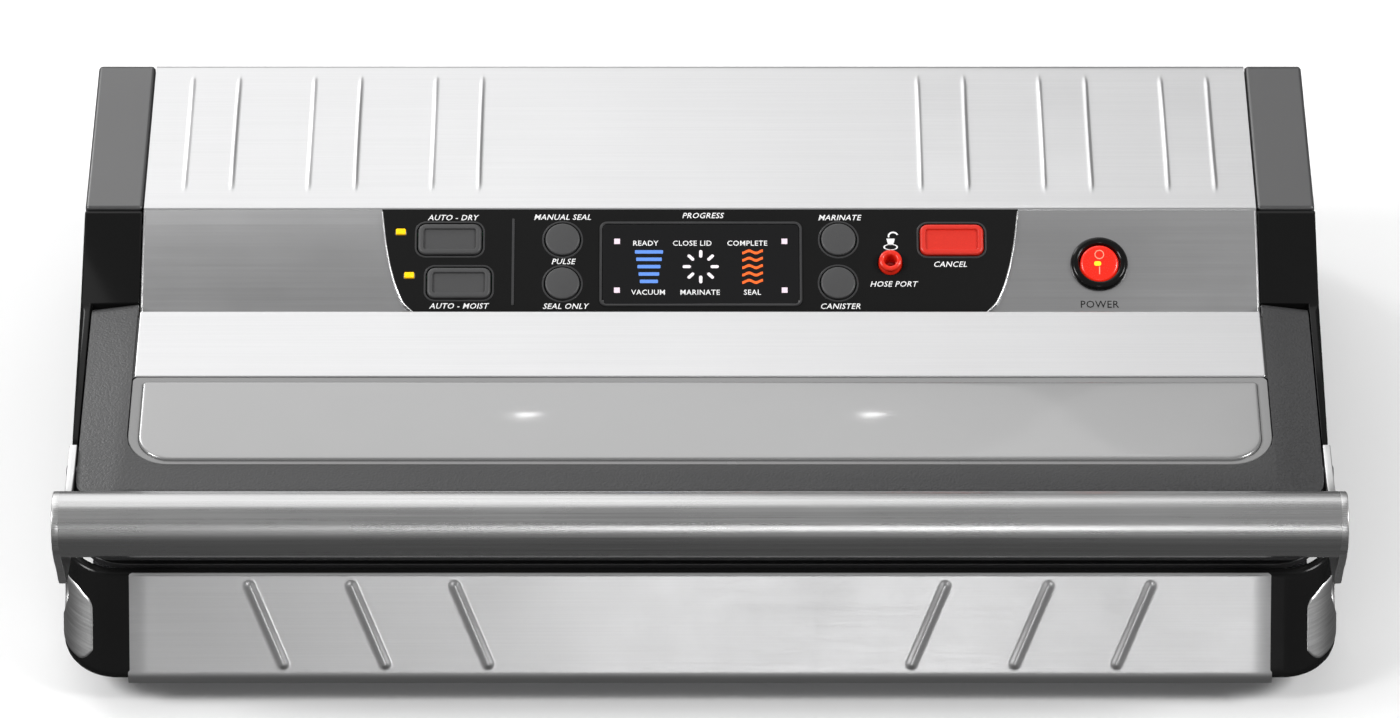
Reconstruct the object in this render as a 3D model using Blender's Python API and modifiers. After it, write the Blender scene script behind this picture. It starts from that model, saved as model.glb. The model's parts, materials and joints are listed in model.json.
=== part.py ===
"""Countertop vacuum sealer: hinged lid with a bar handle, sloping control panel, pump and transformer inside.

Metres, +Z up. +X is to the right of a person at the front, who looks along +Y. The origin lies on the
table under the middle of the machine. Dimensions below are in millimetres and are scaled by MM.
"""
import math

import bmesh
import bpy
from mathutils import Matrix, Vector

MM = 0.001

# Driving dimensions
BASE_HALF = 248.0         # outer half width of the lower housing
HALF_WIDTH = 245.5        # outer half width of the side trims and rear caps
FRONT_Y = -126.0          # lower front edge of the housing
BACK_Y = 148.5            # rear face
BASE_BOTTOM = 14.0        # underside of the lower housing
DECK_TOP = 49.0           # top of the lower housing and of the chamber deck
FRONT_LEAN = 25.0 / 35.0  # how far the front face goes back for each unit of height
WALL = 3.0
GAP = 0.3                 # clearance between touching pieces

SHEET_HALF = 222.0        # half width of the stainless sheets
SHEET_THICK = 0.8
LID_HALF = 241.0
LID_FRONT = -97.0
LID_TOP = 85.5
LID_BOTTOM = 52.0
WINDOW_FRONT = -78.5
WINDOW_BACK = -28.0
STRIP_BACK = 10.0
HINGE_Y = 12.0
HINGE_Z = 79.0
HINGE_RADIUS = 6.5        # rounding of the lid ears about the hinge axis
PIN_RADIUS = 3.0

TUBE_Y = -136.0
TUBE_Z = 108.0
TUBE_RADIUS = 12.5
ARM_INNER = 241.6
ARM_THICK = 2.9

PANEL_TOP_Y = 55.0        # top edge of the sloping control sheet
PANEL_TOP_Z = 98.6
PANEL_TILT = math.radians(25)
PANEL_LENGTH = 44.4       # along the slope
COVER_TOP = 99.0
COVER_FRONT = 58.0
COVER_SPLIT = 85.0        # lower end of the rear cover at the back

RIB_PITCH = 49.5
RIB_WIDTH = 18.9
RIB_FIRST = 98.0

INLAY_EDGE = 235.5        # where the side inlay's front edge stands on the rounded corner
GRIP = (-99.0, 23.0, -85.0, 39.0)  # finger recess: lower front and upper rear corner
GRIP_FLOOR = 242.5

FOOT_HEIGHT = 11.2
PAN_LOW = 11.5
PAN_HIGH = 13.7

PUMP_Y = 110.0
PUMP_Z = 50.0
ECCENTRIC_X = 46.0

STEPS = 32                # segments round a turned piece

# Frames: local x, y of an outline and its normal in the machine's own directions
SIDE = Matrix(((0, 0, 1, 0), (1, 0, 0, 0), (0, 1, 0, 0), (0, 0, 0, 1)))
PLAN = Matrix.Identity(4)
PANEL = Matrix.Translation(Vector((0, PANEL_TOP_Y, PANEL_TOP_Z)) * MM) @ Matrix.Rotation(PANEL_TILT, 4, "X")
FRONT_TILT = math.atan2(1, FRONT_LEAN)
FRONT = (Matrix.Translation(Vector((0, FRONT_Y, BASE_BOTTOM)) * MM)
         @ Matrix.Rotation(FRONT_TILT, 4, "X"))


def start():
    for old in list(bpy.data.objects):
        bpy.data.objects.remove(old, do_unlink=True)
    collections = {}
    for name in ("vacuum_sealer", "cutters"):
        collections[name] = bpy.data.collections.new(name)
        bpy.context.scene.collection.children.link(collections[name])
    return collections["vacuum_sealer"], collections["cutters"]


PARTS, CUTTERS = start()


def material(name, colour, roughness, metallic=0.0, alpha=1.0):
    made = bpy.data.materials.new(name)
    made.use_nodes = True
    shader = made.node_tree.nodes["Principled BSDF"]
    shader.inputs["Base Color"].default_value = (*colour, 1)
    shader.inputs["Roughness"].default_value = roughness
    shader.inputs["Metallic"].default_value = metallic
    shader.inputs["Alpha"].default_value = alpha
    return made


def add(name, data, place=PLAN):
    piece = bpy.data.objects.new(name, data)
    piece.matrix_world = place
    PARTS.objects.link(piece)
    return piece


def mesh_of(name, bm, place=PLAN):
    data = bpy.data.meshes.new(name)
    bm.to_mesh(data)
    bm.free()
    return add(name, data, place)


def at(x, y, z):
    return Matrix.Translation(Vector((x, y, z)) * MM)


def block(name, low, high, place=PLAN):
    """Box between two corners, in the millimetres of the given frame."""
    low, high = Vector(low) * MM, Vector(high) * MM
    bm = bmesh.new()
    bmesh.ops.create_cube(bm, size=1, matrix=Matrix.Translation((low + high) / 2)
                          @ Matrix.Diagonal((*(high - low), 1)))
    return mesh_of(name, bm, place)


def cylinder(name, centre, radius, length, place=PLAN, axis="Z", steps=STEPS):
    """Cylinder about a centre point, its length along one axis of the given frame."""
    turn = {"X": Matrix.Rotation(math.pi / 2, 4, "Y"), "Y": Matrix.Rotation(-math.pi / 2, 4, "X"),
            "Z": Matrix.Identity(4)}[axis]
    bm = bmesh.new()
    bmesh.ops.create_cone(bm, cap_ends=True, segments=steps, radius1=radius * MM, radius2=radius * MM,
                          depth=length * MM, matrix=at(*centre) @ turn)
    piece = mesh_of(name, bm, place)
    smooth(piece)
    return piece


def smooth(piece):
    piece.data.shade_smooth()
    piece.data.set_sharp_from_angle(angle=math.radians(35))


def as_mesh(piece):
    """The evaluated piece as a mesh object of the same name and place, its caps welded."""
    bpy.context.view_layer.update()
    graph = bpy.context.evaluated_depsgraph_get()
    data = bpy.data.meshes.new_from_object(piece.evaluated_get(graph))
    bm = bmesh.new()
    bm.from_mesh(data)
    bmesh.ops.remove_doubles(bm, verts=bm.verts, dist=1e-6)
    bm.to_mesh(data)
    bm.free()
    name, place = piece.name, piece.matrix_world.copy()
    bpy.data.objects.remove(piece, do_unlink=True)
    return add(name, data, place)


def outline(name, points, low, high, place=PLAN, holes=()):
    """Flat outline, with holes, that fills the frame's own z from low to high."""
    curve = bpy.data.curves.new(name, "CURVE")
    curve.dimensions = "2D"
    curve.fill_mode = "BOTH"
    curve.extrude = (high - low) / 2 * MM
    for loop in (points, *holes):
        spline = curve.splines.new("POLY")
        spline.points.add(len(loop) - 1)
        for point, (u, v) in zip(spline.points, loop):
            point.co = (u * MM, v * MM, 0, 1)
        spline.use_cyclic_u = True
    return as_mesh(add(name, curve, place @ at(0, 0, (low + high) / 2)))


def arc(centre, radius, start, end, count=6):
    """Points on an arc, angles in degrees."""
    angles = (math.radians(start + (end - start) * i / count) for i in range(count + 1))
    return [(centre[0] + radius * math.cos(a), centre[1] + radius * math.sin(a)) for a in angles]


def rounded(x0, y0, x1, y1, radius, count=5):
    """Rounded rectangle; radius is one number or one for each corner from the lower left, counter-clockwise."""
    radii = [radius] * 4 if isinstance(radius, (int, float)) else radius
    corners = ((x0, y0, 1, 1), (x1, y0, -1, 1), (x1, y1, -1, -1), (x0, y1, 1, -1))
    points = []
    for (x, y, sx, sy), r, first in zip(corners, radii, (180, 270, 0, 90)):
        points += arc((x + sx * r, y + sy * r), r, first, first + 90, count)
    return points


def sheet(name, profile, half_width, thickness, centre_x=0.0):
    """Bent sheet: a side profile swept across the machine, thickened inwards (to the profile's right)."""
    bm = bmesh.new()
    rows = []
    for x in (centre_x - half_width, centre_x + half_width):
        rows.append([bm.verts.new(Vector((x, y, z)) * MM) for y, z in profile])
    for (a, b), (c, d) in zip(zip(rows[0], rows[0][1:]), zip(rows[1], rows[1][1:])):
        bm.faces.new((a, c, d, b))
    piece = mesh_of(name, bm)
    wall = piece.modifiers.new("wall", "SOLIDIFY")
    wall.thickness = thickness * MM
    wall.offset = -1
    wall.use_even_offset = True
    return piece


def turned(name, profile, place=PLAN, closed=False, steps=STEPS):
    """Profile of (radius, height) turned about the frame's z; its outer side runs from top to bottom."""
    bm = bmesh.new()
    points = [bm.verts.new(Vector((r, 0, z)) * MM) for r, z in profile]
    for a, b in zip(points, points[1:]):
        bm.edges.new((a, b))
    if closed:
        bm.edges.new((points[-1], points[0]))
    piece = mesh_of(name, bm, place)
    screw = piece.modifiers.new("turn", "SCREW")
    screw.steps = screw.render_steps = steps
    screw.use_merge_vertices = True
    screw.merge_threshold = 0.00001
    return piece


def pipe(name, points, radius):
    """Round tube along a smooth curve through the given points."""
    curve = bpy.data.curves.new(name, "CURVE")
    curve.dimensions = "3D"
    curve.bevel_depth = radius * MM
    curve.bevel_resolution = 2
    curve.use_fill_caps = True
    spline = curve.splines.new("POLY")
    route = through(points)
    spline.points.add(len(route) - 1)
    for point, place in zip(spline.points, route):
        point.co = (*(place * MM), 1)
    return as_mesh(add(name, curve))


def through(points, per_span=6):
    """Catmull-Rom curve through the points."""
    knots = [Vector(p) for p in points]
    knots = [2 * knots[0] - knots[1], *knots, 2 * knots[-1] - knots[-2]]
    route = []
    for a, b, c, d in zip(knots, knots[1:], knots[2:], knots[3:]):
        for i in range(per_span):
            t = i / per_span
            route.append(0.5 * (2 * b + (c - a) * t + (2 * a - 5 * b + 4 * c - d) * t ** 2
                                + (3 * b - a - 3 * c + d) * t ** 3))
    return route + [knots[-2]]


def combine(piece, tool, operation):
    change = piece.modifiers.new(tool.name, "BOOLEAN")
    change.object = tool
    change.operation = operation
    change.solver = "EXACT"
    tool.name = f"{piece.name}_{operation.lower()}_{len(piece.modifiers)}"
    tool.hide_render = True
    tool.display_type = "WIRE"
    PARTS.objects.unlink(tool)
    CUTTERS.objects.link(tool)


def cut(piece, *tools):
    for tool in tools:
        combine(piece, tool, "DIFFERENCE")


def join(piece, *tools):
    for tool in tools:
        combine(piece, tool, "UNION")


def paint(made, *pieces):
    for piece in pieces:
        piece.data.materials.clear()
        piece.data.materials.append(made)


def lean(piece, front_of=0.0):
    """Shears the front half of a plan outline back as it rises, as the sloping front does."""
    place = piece.matrix_world
    for vertex in piece.data.vertices:
        spot = place @ vertex.co
        if spot.y < front_of:
            spot.y += (spot.z - BASE_BOTTOM * MM) * FRONT_LEAN
            vertex.co = place.inverted() @ spot


def hinge_parent(name, place, *pieces):
    """Empty on a joint's axis that carries the pieces without moving them."""
    empty = bpy.data.objects.new(name, None)
    empty.matrix_world = place
    PARTS.objects.link(empty)
    for piece in pieces:
        piece.parent = empty
        piece.matrix_parent_inverse = place.inverted()


STEEL = material("brushed_steel", (0.62, 0.62, 0.62), 0.3, 1)
GREY_BLACK = material("textured_black", (0.03, 0.03, 0.032), 0.55)
GLOSS_BLACK = material("gloss_black", (0.008, 0.008, 0.008), 0.15)
SATIN_BLACK = material("satin_black", (0.02, 0.02, 0.02), 0.35)
WINDOW = material("smoked_clear", (0.6, 0.62, 0.63), 0.1, 0, 0.6)
RUBBER = material("black_rubber", (0.02, 0.02, 0.02), 0.8)
BUTTON_GREY = material("button_grey", (0.09, 0.09, 0.09), 0.5)
RED = material("signal_red", (0.8, 0.03, 0.01), 0.3)
AMBER = material("amber", (1.0, 0.6, 0.05), 0.3)
TAPE = material("release_tape", (0.35, 0.22, 0.1), 0.6)
SILICONE = material("silicone", (0.5, 0.1, 0.05), 0.7)
BOARD = material("board_green", (0.02, 0.2, 0.08), 0.5)
COPPER = material("winding", (0.5, 0.2, 0.08), 0.4)
ZINC = material("zinc", (0.5, 0.5, 0.52), 0.4, 1)
WHITE = material("white_plastic", (0.8, 0.8, 0.78), 0.4)
HOSE = material("clear_hose", (0.7, 0.7, 0.68), 0.4)


def build_base():
    housing = outline("base_housing", rounded(-BASE_HALF, FRONT_Y, BASE_HALF, BACK_Y, [22, 22, 8, 8]),
                      BASE_BOTTOM, DECK_TOP)
    lean(housing)
    inner = BASE_HALF - WALL
    hollow = outline("hollow", rounded(-inner, FRONT_Y + 4, inner, BACK_Y - WALL, [18, 18, 5, 5]),
                     BASE_BOTTOM - 5, DECK_TOP + 5)
    lean(hollow)
    recess = block("recess", (-SHEET_HALF - 0.5, -5, -1.5), (SHEET_HALF + 0.5, 60, 5), FRONT)
    cut(housing, hollow, recess)
    for side in (-1, 1):
        join(housing, corner_skin("pad", side, 9.5, 1.5, [(-104, 18), (-80, 18), (-80, 44), (-104, 44)], 230.5))
        cut(housing, corner_skin("pocket", side, 1.1, -3, inlay_outline(0.35), INLAY_EDGE - 0.35))
        low, high = sorted((side * GRIP_FLOOR, side * 260))
        cut(housing, outline("grip", rounded(*GRIP, 6), low, high, SIDE))
    paint(GLOSS_BLACK, housing)

    pan = outline("bottom_pan", rounded(-240, FRONT_Y + 6, 240, BACK_Y - 5, [18, 18, 6, 6]), PAN_LOW, PAN_HIGH)
    paint(ZINC, pan)
    for name, x, y in (("foot_front_left", -205, -95), ("foot_front_right", 205, -95),
                       ("foot_rear_left", -205, 125), ("foot_rear_right", 205, 125)):
        foot = turned(name, ((0, FOOT_HEIGHT), (9, FOOT_HEIGHT), (11, 1.2), (10, 0), (0, 0)), at(x, y, 0), steps=24)
        paint(RUBBER, foot)

    front = outline("front_sheet", rounded(-SHEET_HALF, 0.8, SHEET_HALF, 42.2, 0.6, 1), -1.2, 0, FRONT)
    rib_top, rib_bottom, rib_radius, inward = 37.7, 7.2, 2.2, 13.0
    for side in (-1, 1):
        for rib in (95.0, 135.0, 174.5):
            low = Vector((side * (rib - inward), rib_bottom))
            high = Vector((side * rib, rib_top))
            turn = math.degrees(math.atan2(high.y - low.y, high.x - low.x))
            bar = outline("bar", arc(low, rib_radius, turn + 90, turn + 270, 4)
                          + arc(high, rib_radius, turn - 90, turn + 90, 4), -0.6, 1.0, FRONT)
            join(front, bar)
    paint(STEEL, front)

    for side, name in ((-1, "side_inlay_left"), (1, "side_inlay_right")):
        inlay = corner_skin(name, side, 0.8, 0.1, inlay_outline(0), INLAY_EDGE)
        low, high = sorted((side * 230, side * 260))
        cut(inlay, outline("opening", rounded(GRIP[0] - 0.6, GRIP[1] - 0.6, GRIP[2] + 0.6, GRIP[3] + 0.6, 6.6),
                           low, high, SIDE))
        paint(STEEL, inlay)


def inlay_outline(grow):
    """Side view of the inlay: it runs off the rounded corner in front and rises to a peak at the rear."""
    return [(-140, 20 - grow), (-104, 19 - grow), (-84, 17.5 - grow), (-77 + grow, 21), (-75 + grow, 44),
            (-79, 47 + grow), (-101, 42.5 + grow), (-108, 37.5 + grow), (-140, 37.5 + grow)]


def corner_skin(name, side, inside, outside, shape, edge):
    """Layer of the sloping front corner between two depths, trimmed by a side view and an inner edge."""
    def loop(depth):
        half, radius = BASE_HALF - depth, 22 - depth
        return rounded(-half, FRONT_Y + depth * 1.2, half, BACK_Y - depth, [radius, radius, 8, 8], 8)

    skin = outline(name, loop(outside), BASE_BOTTOM - 2, DECK_TOP + 2, holes=[loop(inside)[::-1]])
    lean(skin)
    low, high = sorted((side * edge, side * 260))
    combine(skin, outline("trim", shape, low, high, SIDE), "INTERSECT")
    return skin


def build_chamber():
    deck = outline("chamber_deck", rounded(-242, -96.2, 242, 14.5, [19, 19, 1, 1]), DECK_TOP - 2.7, DECK_TOP)
    trough = outline("trough", rounded(-192.5, -60.5, 192.5, -15.5, 10), 33.5, DECK_TOP - 0.5)
    join(deck, trough)
    cut(deck, outline("trough_hollow", rounded(-190, -58, 190, -18, 8), 36, DECK_TOP + 5))
    paint(SATIN_BLACK, deck)

    def ring(name, low, high):
        made = outline(name, rounded(-208, -72, 208, -4, 16), low, high,
                       holes=[rounded(-200, -64, 200, -12, 9)[::-1]])
        paint(RUBBER, made)
        return made

    ring("lower_gasket", DECK_TOP + GAP, 55.0)
    ring("upper_gasket", 55.4, 59.7)

    bar = block("seal_bar", (-203, -90, DECK_TOP + GAP), (203, -79, 54.5))
    paint(SATIN_BLACK, bar)
    element = block("heating_element", (-201, -86, 54.8), (201, -83, 55.0))
    paint(STEEL, element)
    tape = block("release_tape", (-203, -89, 55.3), (203, -80, 55.5))
    paint(TAPE, tape)
    strip = block("pressure_strip", (-203, -89.5, 55.9), (203, -79.5, 59.7))
    paint(SILICONE, strip)

    liner = outline("lid_liner", rounded(-236.5, -92.5, 236.5, 2.5, 12), 60.0, 62.0)
    paint(SATIN_BLACK, liner)
    bulkhead = block("bulkhead", (-221.7, 16.5, DECK_TOP + GAP), (221.7, 18.5, 70))
    paint(GLOSS_BLACK, bulkhead)
    switch = block("lid_switch", (214, 21, 50), (221, 33, 64))
    paint(SATIN_BLACK, switch)


def build_lid():
    profile = [(LID_FRONT, LID_BOTTOM), (2.0, LID_BOTTOM), (6.0, 66)]
    profile += arc((HINGE_Y, HINGE_Z), HINGE_RADIUS, -100, 90, 9)
    profile += arc((LID_FRONT + 5, LID_TOP - 5), 5, 90, 180, 4)
    frame = outline("lid_frame", profile[::-1], -LID_HALF, LID_HALF, SIDE)
    corner = outline("corner", rounded(-LID_HALF - 0.01, LID_FRONT - 0.01, LID_HALF + 0.01, 60, [13, 13, 1, 1]), 30, 110)
    combine(frame, corner, "INTERSECT")
    hollow = block("hollow", (-LID_HALF + WALL, LID_FRONT + WALL, 40), (LID_HALF - WALL, 3.0, LID_TOP - WALL))
    back = block("back", (-SHEET_HALF - 0.5, 7.5, 40), (SHEET_HALF + 0.5, 40, 100))
    hole = outline("hole", rounded(-SHEET_HALF - 0.4, WINDOW_FRONT - 0.4, SHEET_HALF + 0.4, WINDOW_BACK, [17, 17, 1, 1]),
                   70, 100)
    bed = block("bed", (-SHEET_HALF - 0.4, WINDOW_BACK - 1, LID_TOP - 0.6), (SHEET_HALF + 0.4, 20, 100))
    cut(frame, hollow, back, hole, bed)
    for side in (-1, 1):
        cut(frame, cylinder("bore", (side * LID_HALF, HINGE_Y, HINGE_Z), PIN_RADIUS + GAP, 14, axis="X"))
    paint(GREY_BLACK, frame)

    window = outline("lid_window", rounded(-SHEET_HALF, WINDOW_FRONT, SHEET_HALF, WINDOW_BACK - 1.4, [16.6, 16.6, 1, 1]),
                     LID_TOP - 3, LID_TOP)
    paint(WINDOW, window)
    strip = sheet("lid_strip", [(WINDOW_BACK - 0.4, LID_TOP + 0.5), (STRIP_BACK, LID_TOP + 0.5)], SHEET_HALF, SHEET_THICK)
    paint(STEEL, strip)

    tube = cylinder("handle_tube", (0, TUBE_Y, TUBE_Z), TUBE_RADIUS, 2 * ARM_INNER - 2 * GAP, axis="X", steps=40)
    paint(STEEL, tube)
    for side, name in ((-1, "arm_plate_left"), (1, "arm_plate_right")):
        shape = [(-66, 83.5), (-88, 85.5), (-104, 92), (-121, 109)]
        shape += arc((TUBE_Y, TUBE_Z), TUBE_RADIUS, 40, 190, 8)
        shape += [(-139, 84), (-134, 75.5), (-130, 74), (-100, 67), (-70, 69), (-66, 72)]
        low, high = sorted((side * ARM_INNER, side * (ARM_INNER + ARM_THICK)))
        paint(STEEL, outline(name, shape[::-1], low, high, SIDE))
    for side, name in ((-1, "hinge_pin_left"), (1, "hinge_pin_right")):
        pin = cylinder(name, (side * 240.5, HINGE_Y, HINGE_Z), PIN_RADIUS, 7.6, axis="X", steps=20)
        paint(ZINC, pin)
    moving = [bpy.data.objects[n] for n in (
        "lid_frame", "lid_window", "lid_strip", "lid_liner", "upper_gasket", "pressure_strip", "handle_tube",
        "arm_plate_left", "arm_plate_right")]
    hinge_parent("lid_hinge", at(0, HINGE_Y, HINGE_Z), *moving)


def panel_point(down, out=0.0):
    """Side position of a point on the control sheet, so far down its slope and so far out of it."""
    y = PANEL_TOP_Y - down * math.cos(PANEL_TILT) - out * math.sin(PANEL_TILT)
    z = PANEL_TOP_Z - down * math.sin(PANEL_TILT) + out * math.cos(PANEL_TILT)
    return y, z


BUTTONS = {  # name: (shape, x, distance down the slope)
    "button_dry": ("pill", -99.6, 12.2),
    "button_moist": ("pill", -95.8, 31.2),
    "button_manual": ("round", -54.7, 12.3),
    "button_seal": ("round", -54.7, 31.4),
    "button_marinate": ("round", 55.1, 12.3),
    "button_canister": ("round", 54.9, 31.2),
    "button_cancel": ("pill", 100.2, 12.4),
}
PILL_X, PILL_Y, PILL_CORNER = 12.65, 6.6, 3.2
ROUND_RADIUS = 6.85
BUTTON_DEPTH = 4.5
BUTTON_TOP = 2.2          # above the control sheet
BUTTON_GAP = 0.5
SWITCH_X, SWITCH_DOWN = 158.8, 22.7
ROCKER_TILT = math.radians(7)   # its lower half is pressed in
PORT_X, PORT_DOWN = 75.7, 22.5


def button_outline(shape, x, down, grow=0.0):
    if shape == "round":
        return arc((x, -down), ROUND_RADIUS + grow, 0, 345, 23)
    half_x, half_y = PILL_X + grow, PILL_Y + grow
    return rounded(x - half_x, -down - half_y, x + half_x, -down + half_y, PILL_CORNER + grow, 4)


def build_panel():
    control = sheet("control_sheet", [panel_point(PANEL_LENGTH), panel_point(0)], SHEET_HALF, SHEET_THICK)
    overlay_top, overlay_bottom = 0.6, 44.0
    left = [(-126.8, -overlay_top), (-125.2, -13), (-123.4, -23), (-121.0, -32), (-117.8, -39.8),
            (-113.5, -overlay_bottom)]
    right = [(-x, v) for x, v in left]
    overlay = outline("control_overlay", left + right[::-1], GAP, 1.2, PANEL)
    for name, (shape, x, down) in BUTTONS.items():
        button = outline(name, button_outline(shape, x, down), BUTTON_TOP - BUTTON_DEPTH, BUTTON_TOP, PANEL)
        hole = button_outline(shape, x, down, BUTTON_GAP)
        cut(control, outline("hole", hole, -5, 5, PANEL))
        cut(overlay, outline("hole", hole, -5, 5, PANEL))
        paint(RED if name == "button_cancel" else BUTTON_GREY, button)
    for name, x, down in (("indicator_dry", -119.2, 8.7), ("indicator_moist", -115.6, 27.6)):
        half_x, half_y = 2.05, 1.3
        lens = outline(name, rounded(x - half_x, -down - half_y, x + half_x, -down + half_y, 0.5, 2), 0.4, 1.6, PANEL)
        cut(overlay, outline("hole", rounded(x - half_x - GAP, -down - half_y - GAP, x + half_x + GAP,
                                             -down + half_y + GAP, 0.5, 2), -5, 5, PANEL))
        paint(AMBER, lens)
    port_bore = 2.4
    port = turned("accessory_port", ((4.6, 1.5), (4.9, -6), (port_bore, -6), (port_bore, 3.2), (3.4, 3.2)),
                  PANEL @ at(PORT_X, -PORT_DOWN, 0), closed=True, steps=24)
    port.data.materials.append(RED)
    port_hole = cylinder("hole", (PORT_X, -PORT_DOWN, 0), 5.2, 30, PANEL, steps=24)
    cut(overlay, port_hole)
    cut(control, cylinder("hole", (PORT_X, -PORT_DOWN, 0), 5.2, 30, PANEL, steps=24))
    cut(overlay, outline("hole", rounded(-38.9 - GAP, -40.2 - GAP, 39.5 + GAP, -5.6 + GAP, 2, 3), 0.75, 5, PANEL))
    display = outline("display_window", rounded(-38.9, -40.2, 39.5, -5.6, 2, 3), 1.05, 1.6, PANEL)
    paint(GLOSS_BLACK, overlay, display)

    bezel = turned("switch_bezel", ((9.2, 2.4), (11.5, 0.3), (8.4, 0.3), (8.4, 2.4)),
                   PANEL @ at(SWITCH_X, -SWITCH_DOWN, 0), closed=True)
    body = cylinder("body", (SWITCH_X, -SWITCH_DOWN, -8), 9.4, 17.4, PANEL)
    well = cylinder("well", (SWITCH_X, -SWITCH_DOWN, -2), 8.4, 20, PANEL)
    bezel = as_mesh(bezel)
    join(bezel, body)
    cut(bezel, well)
    cut(control, cylinder("hole", (SWITCH_X, -SWITCH_DOWN, 0), 9.7, 20, PANEL))
    paint(GLOSS_BLACK, bezel)
    pivot = PANEL @ at(SWITCH_X, -SWITCH_DOWN, -2)
    rocker = outline("power_rocker", arc((0, 0), 7.6, 0, 345, 23), 0, 4.6,
                     pivot @ Matrix.Rotation(ROCKER_TILT, 4, "X"))
    paint(RED, rocker)
    paint(STEEL, control)

    for name in BUTTONS:
        x, down = BUTTONS[name][1:3]
        hinge_parent(f"{name}_guide", PANEL @ at(x, -down, 0), bpy.data.objects[name])
    hinge_parent("rocker_axis", pivot, rocker)

    board = outline("circuit_board", rounded(-135, -40, 135, -4, 1, 1), -10, -8.4, PANEL)
    paint(BOARD, board)


def build_rear():
    radius = 4.0
    profile = [(BACK_Y, COVER_SPLIT)]
    profile += arc((BACK_Y - radius, COVER_TOP - radius), radius, 0, 90, 4)
    profile += arc((COVER_FRONT + 4, COVER_TOP - 2.2), 2.2, 90, 150, 2) + [(COVER_FRONT, COVER_TOP - 2.4), (55.8, COVER_TOP - 2.6)]
    cover = sheet("rear_cover", profile[::-1], SHEET_HALF, SHEET_THICK)
    for side in (-1, 1):
        for i in range(3):
            x = side * (RIB_FIRST + RIB_PITCH * i)
            rib = outline("rib", rounded(x - RIB_WIDTH / 2, 70, x + RIB_WIDTH / 2, 142, 3, 2),
                          COVER_TOP - 0.4, COVER_TOP + 0.7)
            join(cover, rib)
    paint(STEEL, cover)

    for side, word in ((-1, "left"), (1, "right")):
        inner = side * (SHEET_HALF + 0.5)
        outer = side * HALF_WIDTH
        low, high = sorted((inner, outer))
        cap_shape = [(57.8, DECK_TOP + GAP), (BACK_Y, DECK_TOP + GAP)]
        cap_shape += arc((BACK_Y - 4, COVER_TOP - 4), 4, 0, 90, 4) + [(57.8, COVER_TOP)]
        cap = outline(f"rear_cap_{word}", cap_shape, low, high, SIDE)
        room = sorted((inner - side * 5, outer - side * WALL))
        cut(cap, block("room", (room[0], 57.8 + WALL, 40), (room[1], BACK_Y - WALL, COVER_TOP - WALL)))
        paint(SATIN_BLACK, cap)

        top_front = (19.4, 82.0)
        trim_shape = [(19.4, DECK_TOP + GAP), (56.3, DECK_TOP + GAP), (56.3, 98.6), (54.8, 98.6), top_front]
        trim = outline(f"side_trim_{word}", trim_shape, low, high, SIDE)
        hollow = [(19.4 + WALL, 40), (56.3 - WALL, 40), (56.3 - WALL, 94), (19.4 + WALL, 79)]
        reach = sorted((inner - side * 5, outer - side * 4))
        cut(trim, outline("room", hollow, *reach, SIDE))
        wall_shape = [(-64, DECK_TOP + GAP), (30, DECK_TOP + GAP), (30, 85), (19.4, 82), (14, 85.0), (-60, 85.0), (-64, 81)]
        flank = sorted((side * (LID_HALF + 0.6), outer))
        join(trim, outline("flank", wall_shape, *flank, SIDE))
        cut(trim, cylinder("socket", (side * 238.8, HINGE_Y, HINGE_Z), PIN_RADIUS + 0.02, 12, axis="X", steps=20))
        paint(GLOSS_BLACK, trim)

    back = outline("back_panel", rounded(-221.7, DECK_TOP + GAP, 221.7, COVER_SPLIT - 0.4, 1, 1), 0, 2.2,
                   Matrix.Translation(Vector((0, BACK_Y - 0.3, 0)) * MM) @ Matrix.Rotation(math.pi / 2, 4, "X"))
    for i in range(8):
        x = 60 + 9 * i
        cut(back, block("slot", (x, BACK_Y - 10, 55), (x + 4, BACK_Y + 10, 79)))
    socket_x = -170
    cut(back, block("window", (socket_x - 14.3, BACK_Y - 10, 55.7), (socket_x + 14.3, BACK_Y + 10, 76.3)))
    paint(SATIN_BLACK, back)
    inlet = block("mains_inlet", (socket_x - 14, BACK_Y - 22, 56), (socket_x + 14, BACK_Y - 0.3, 76))
    cut(inlet, block("well", (socket_x - 11.5, BACK_Y - 16, 58.5), (socket_x + 11.5, BACK_Y + 5, 73.5)))
    for dx in (-7, 0, 7):
        join(inlet, block("prong", (socket_x + dx - 1, BACK_Y - 17, 64), (socket_x + dx + 1, BACK_Y - 4, 68)))
    paint(SATIN_BLACK, inlet)


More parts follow.
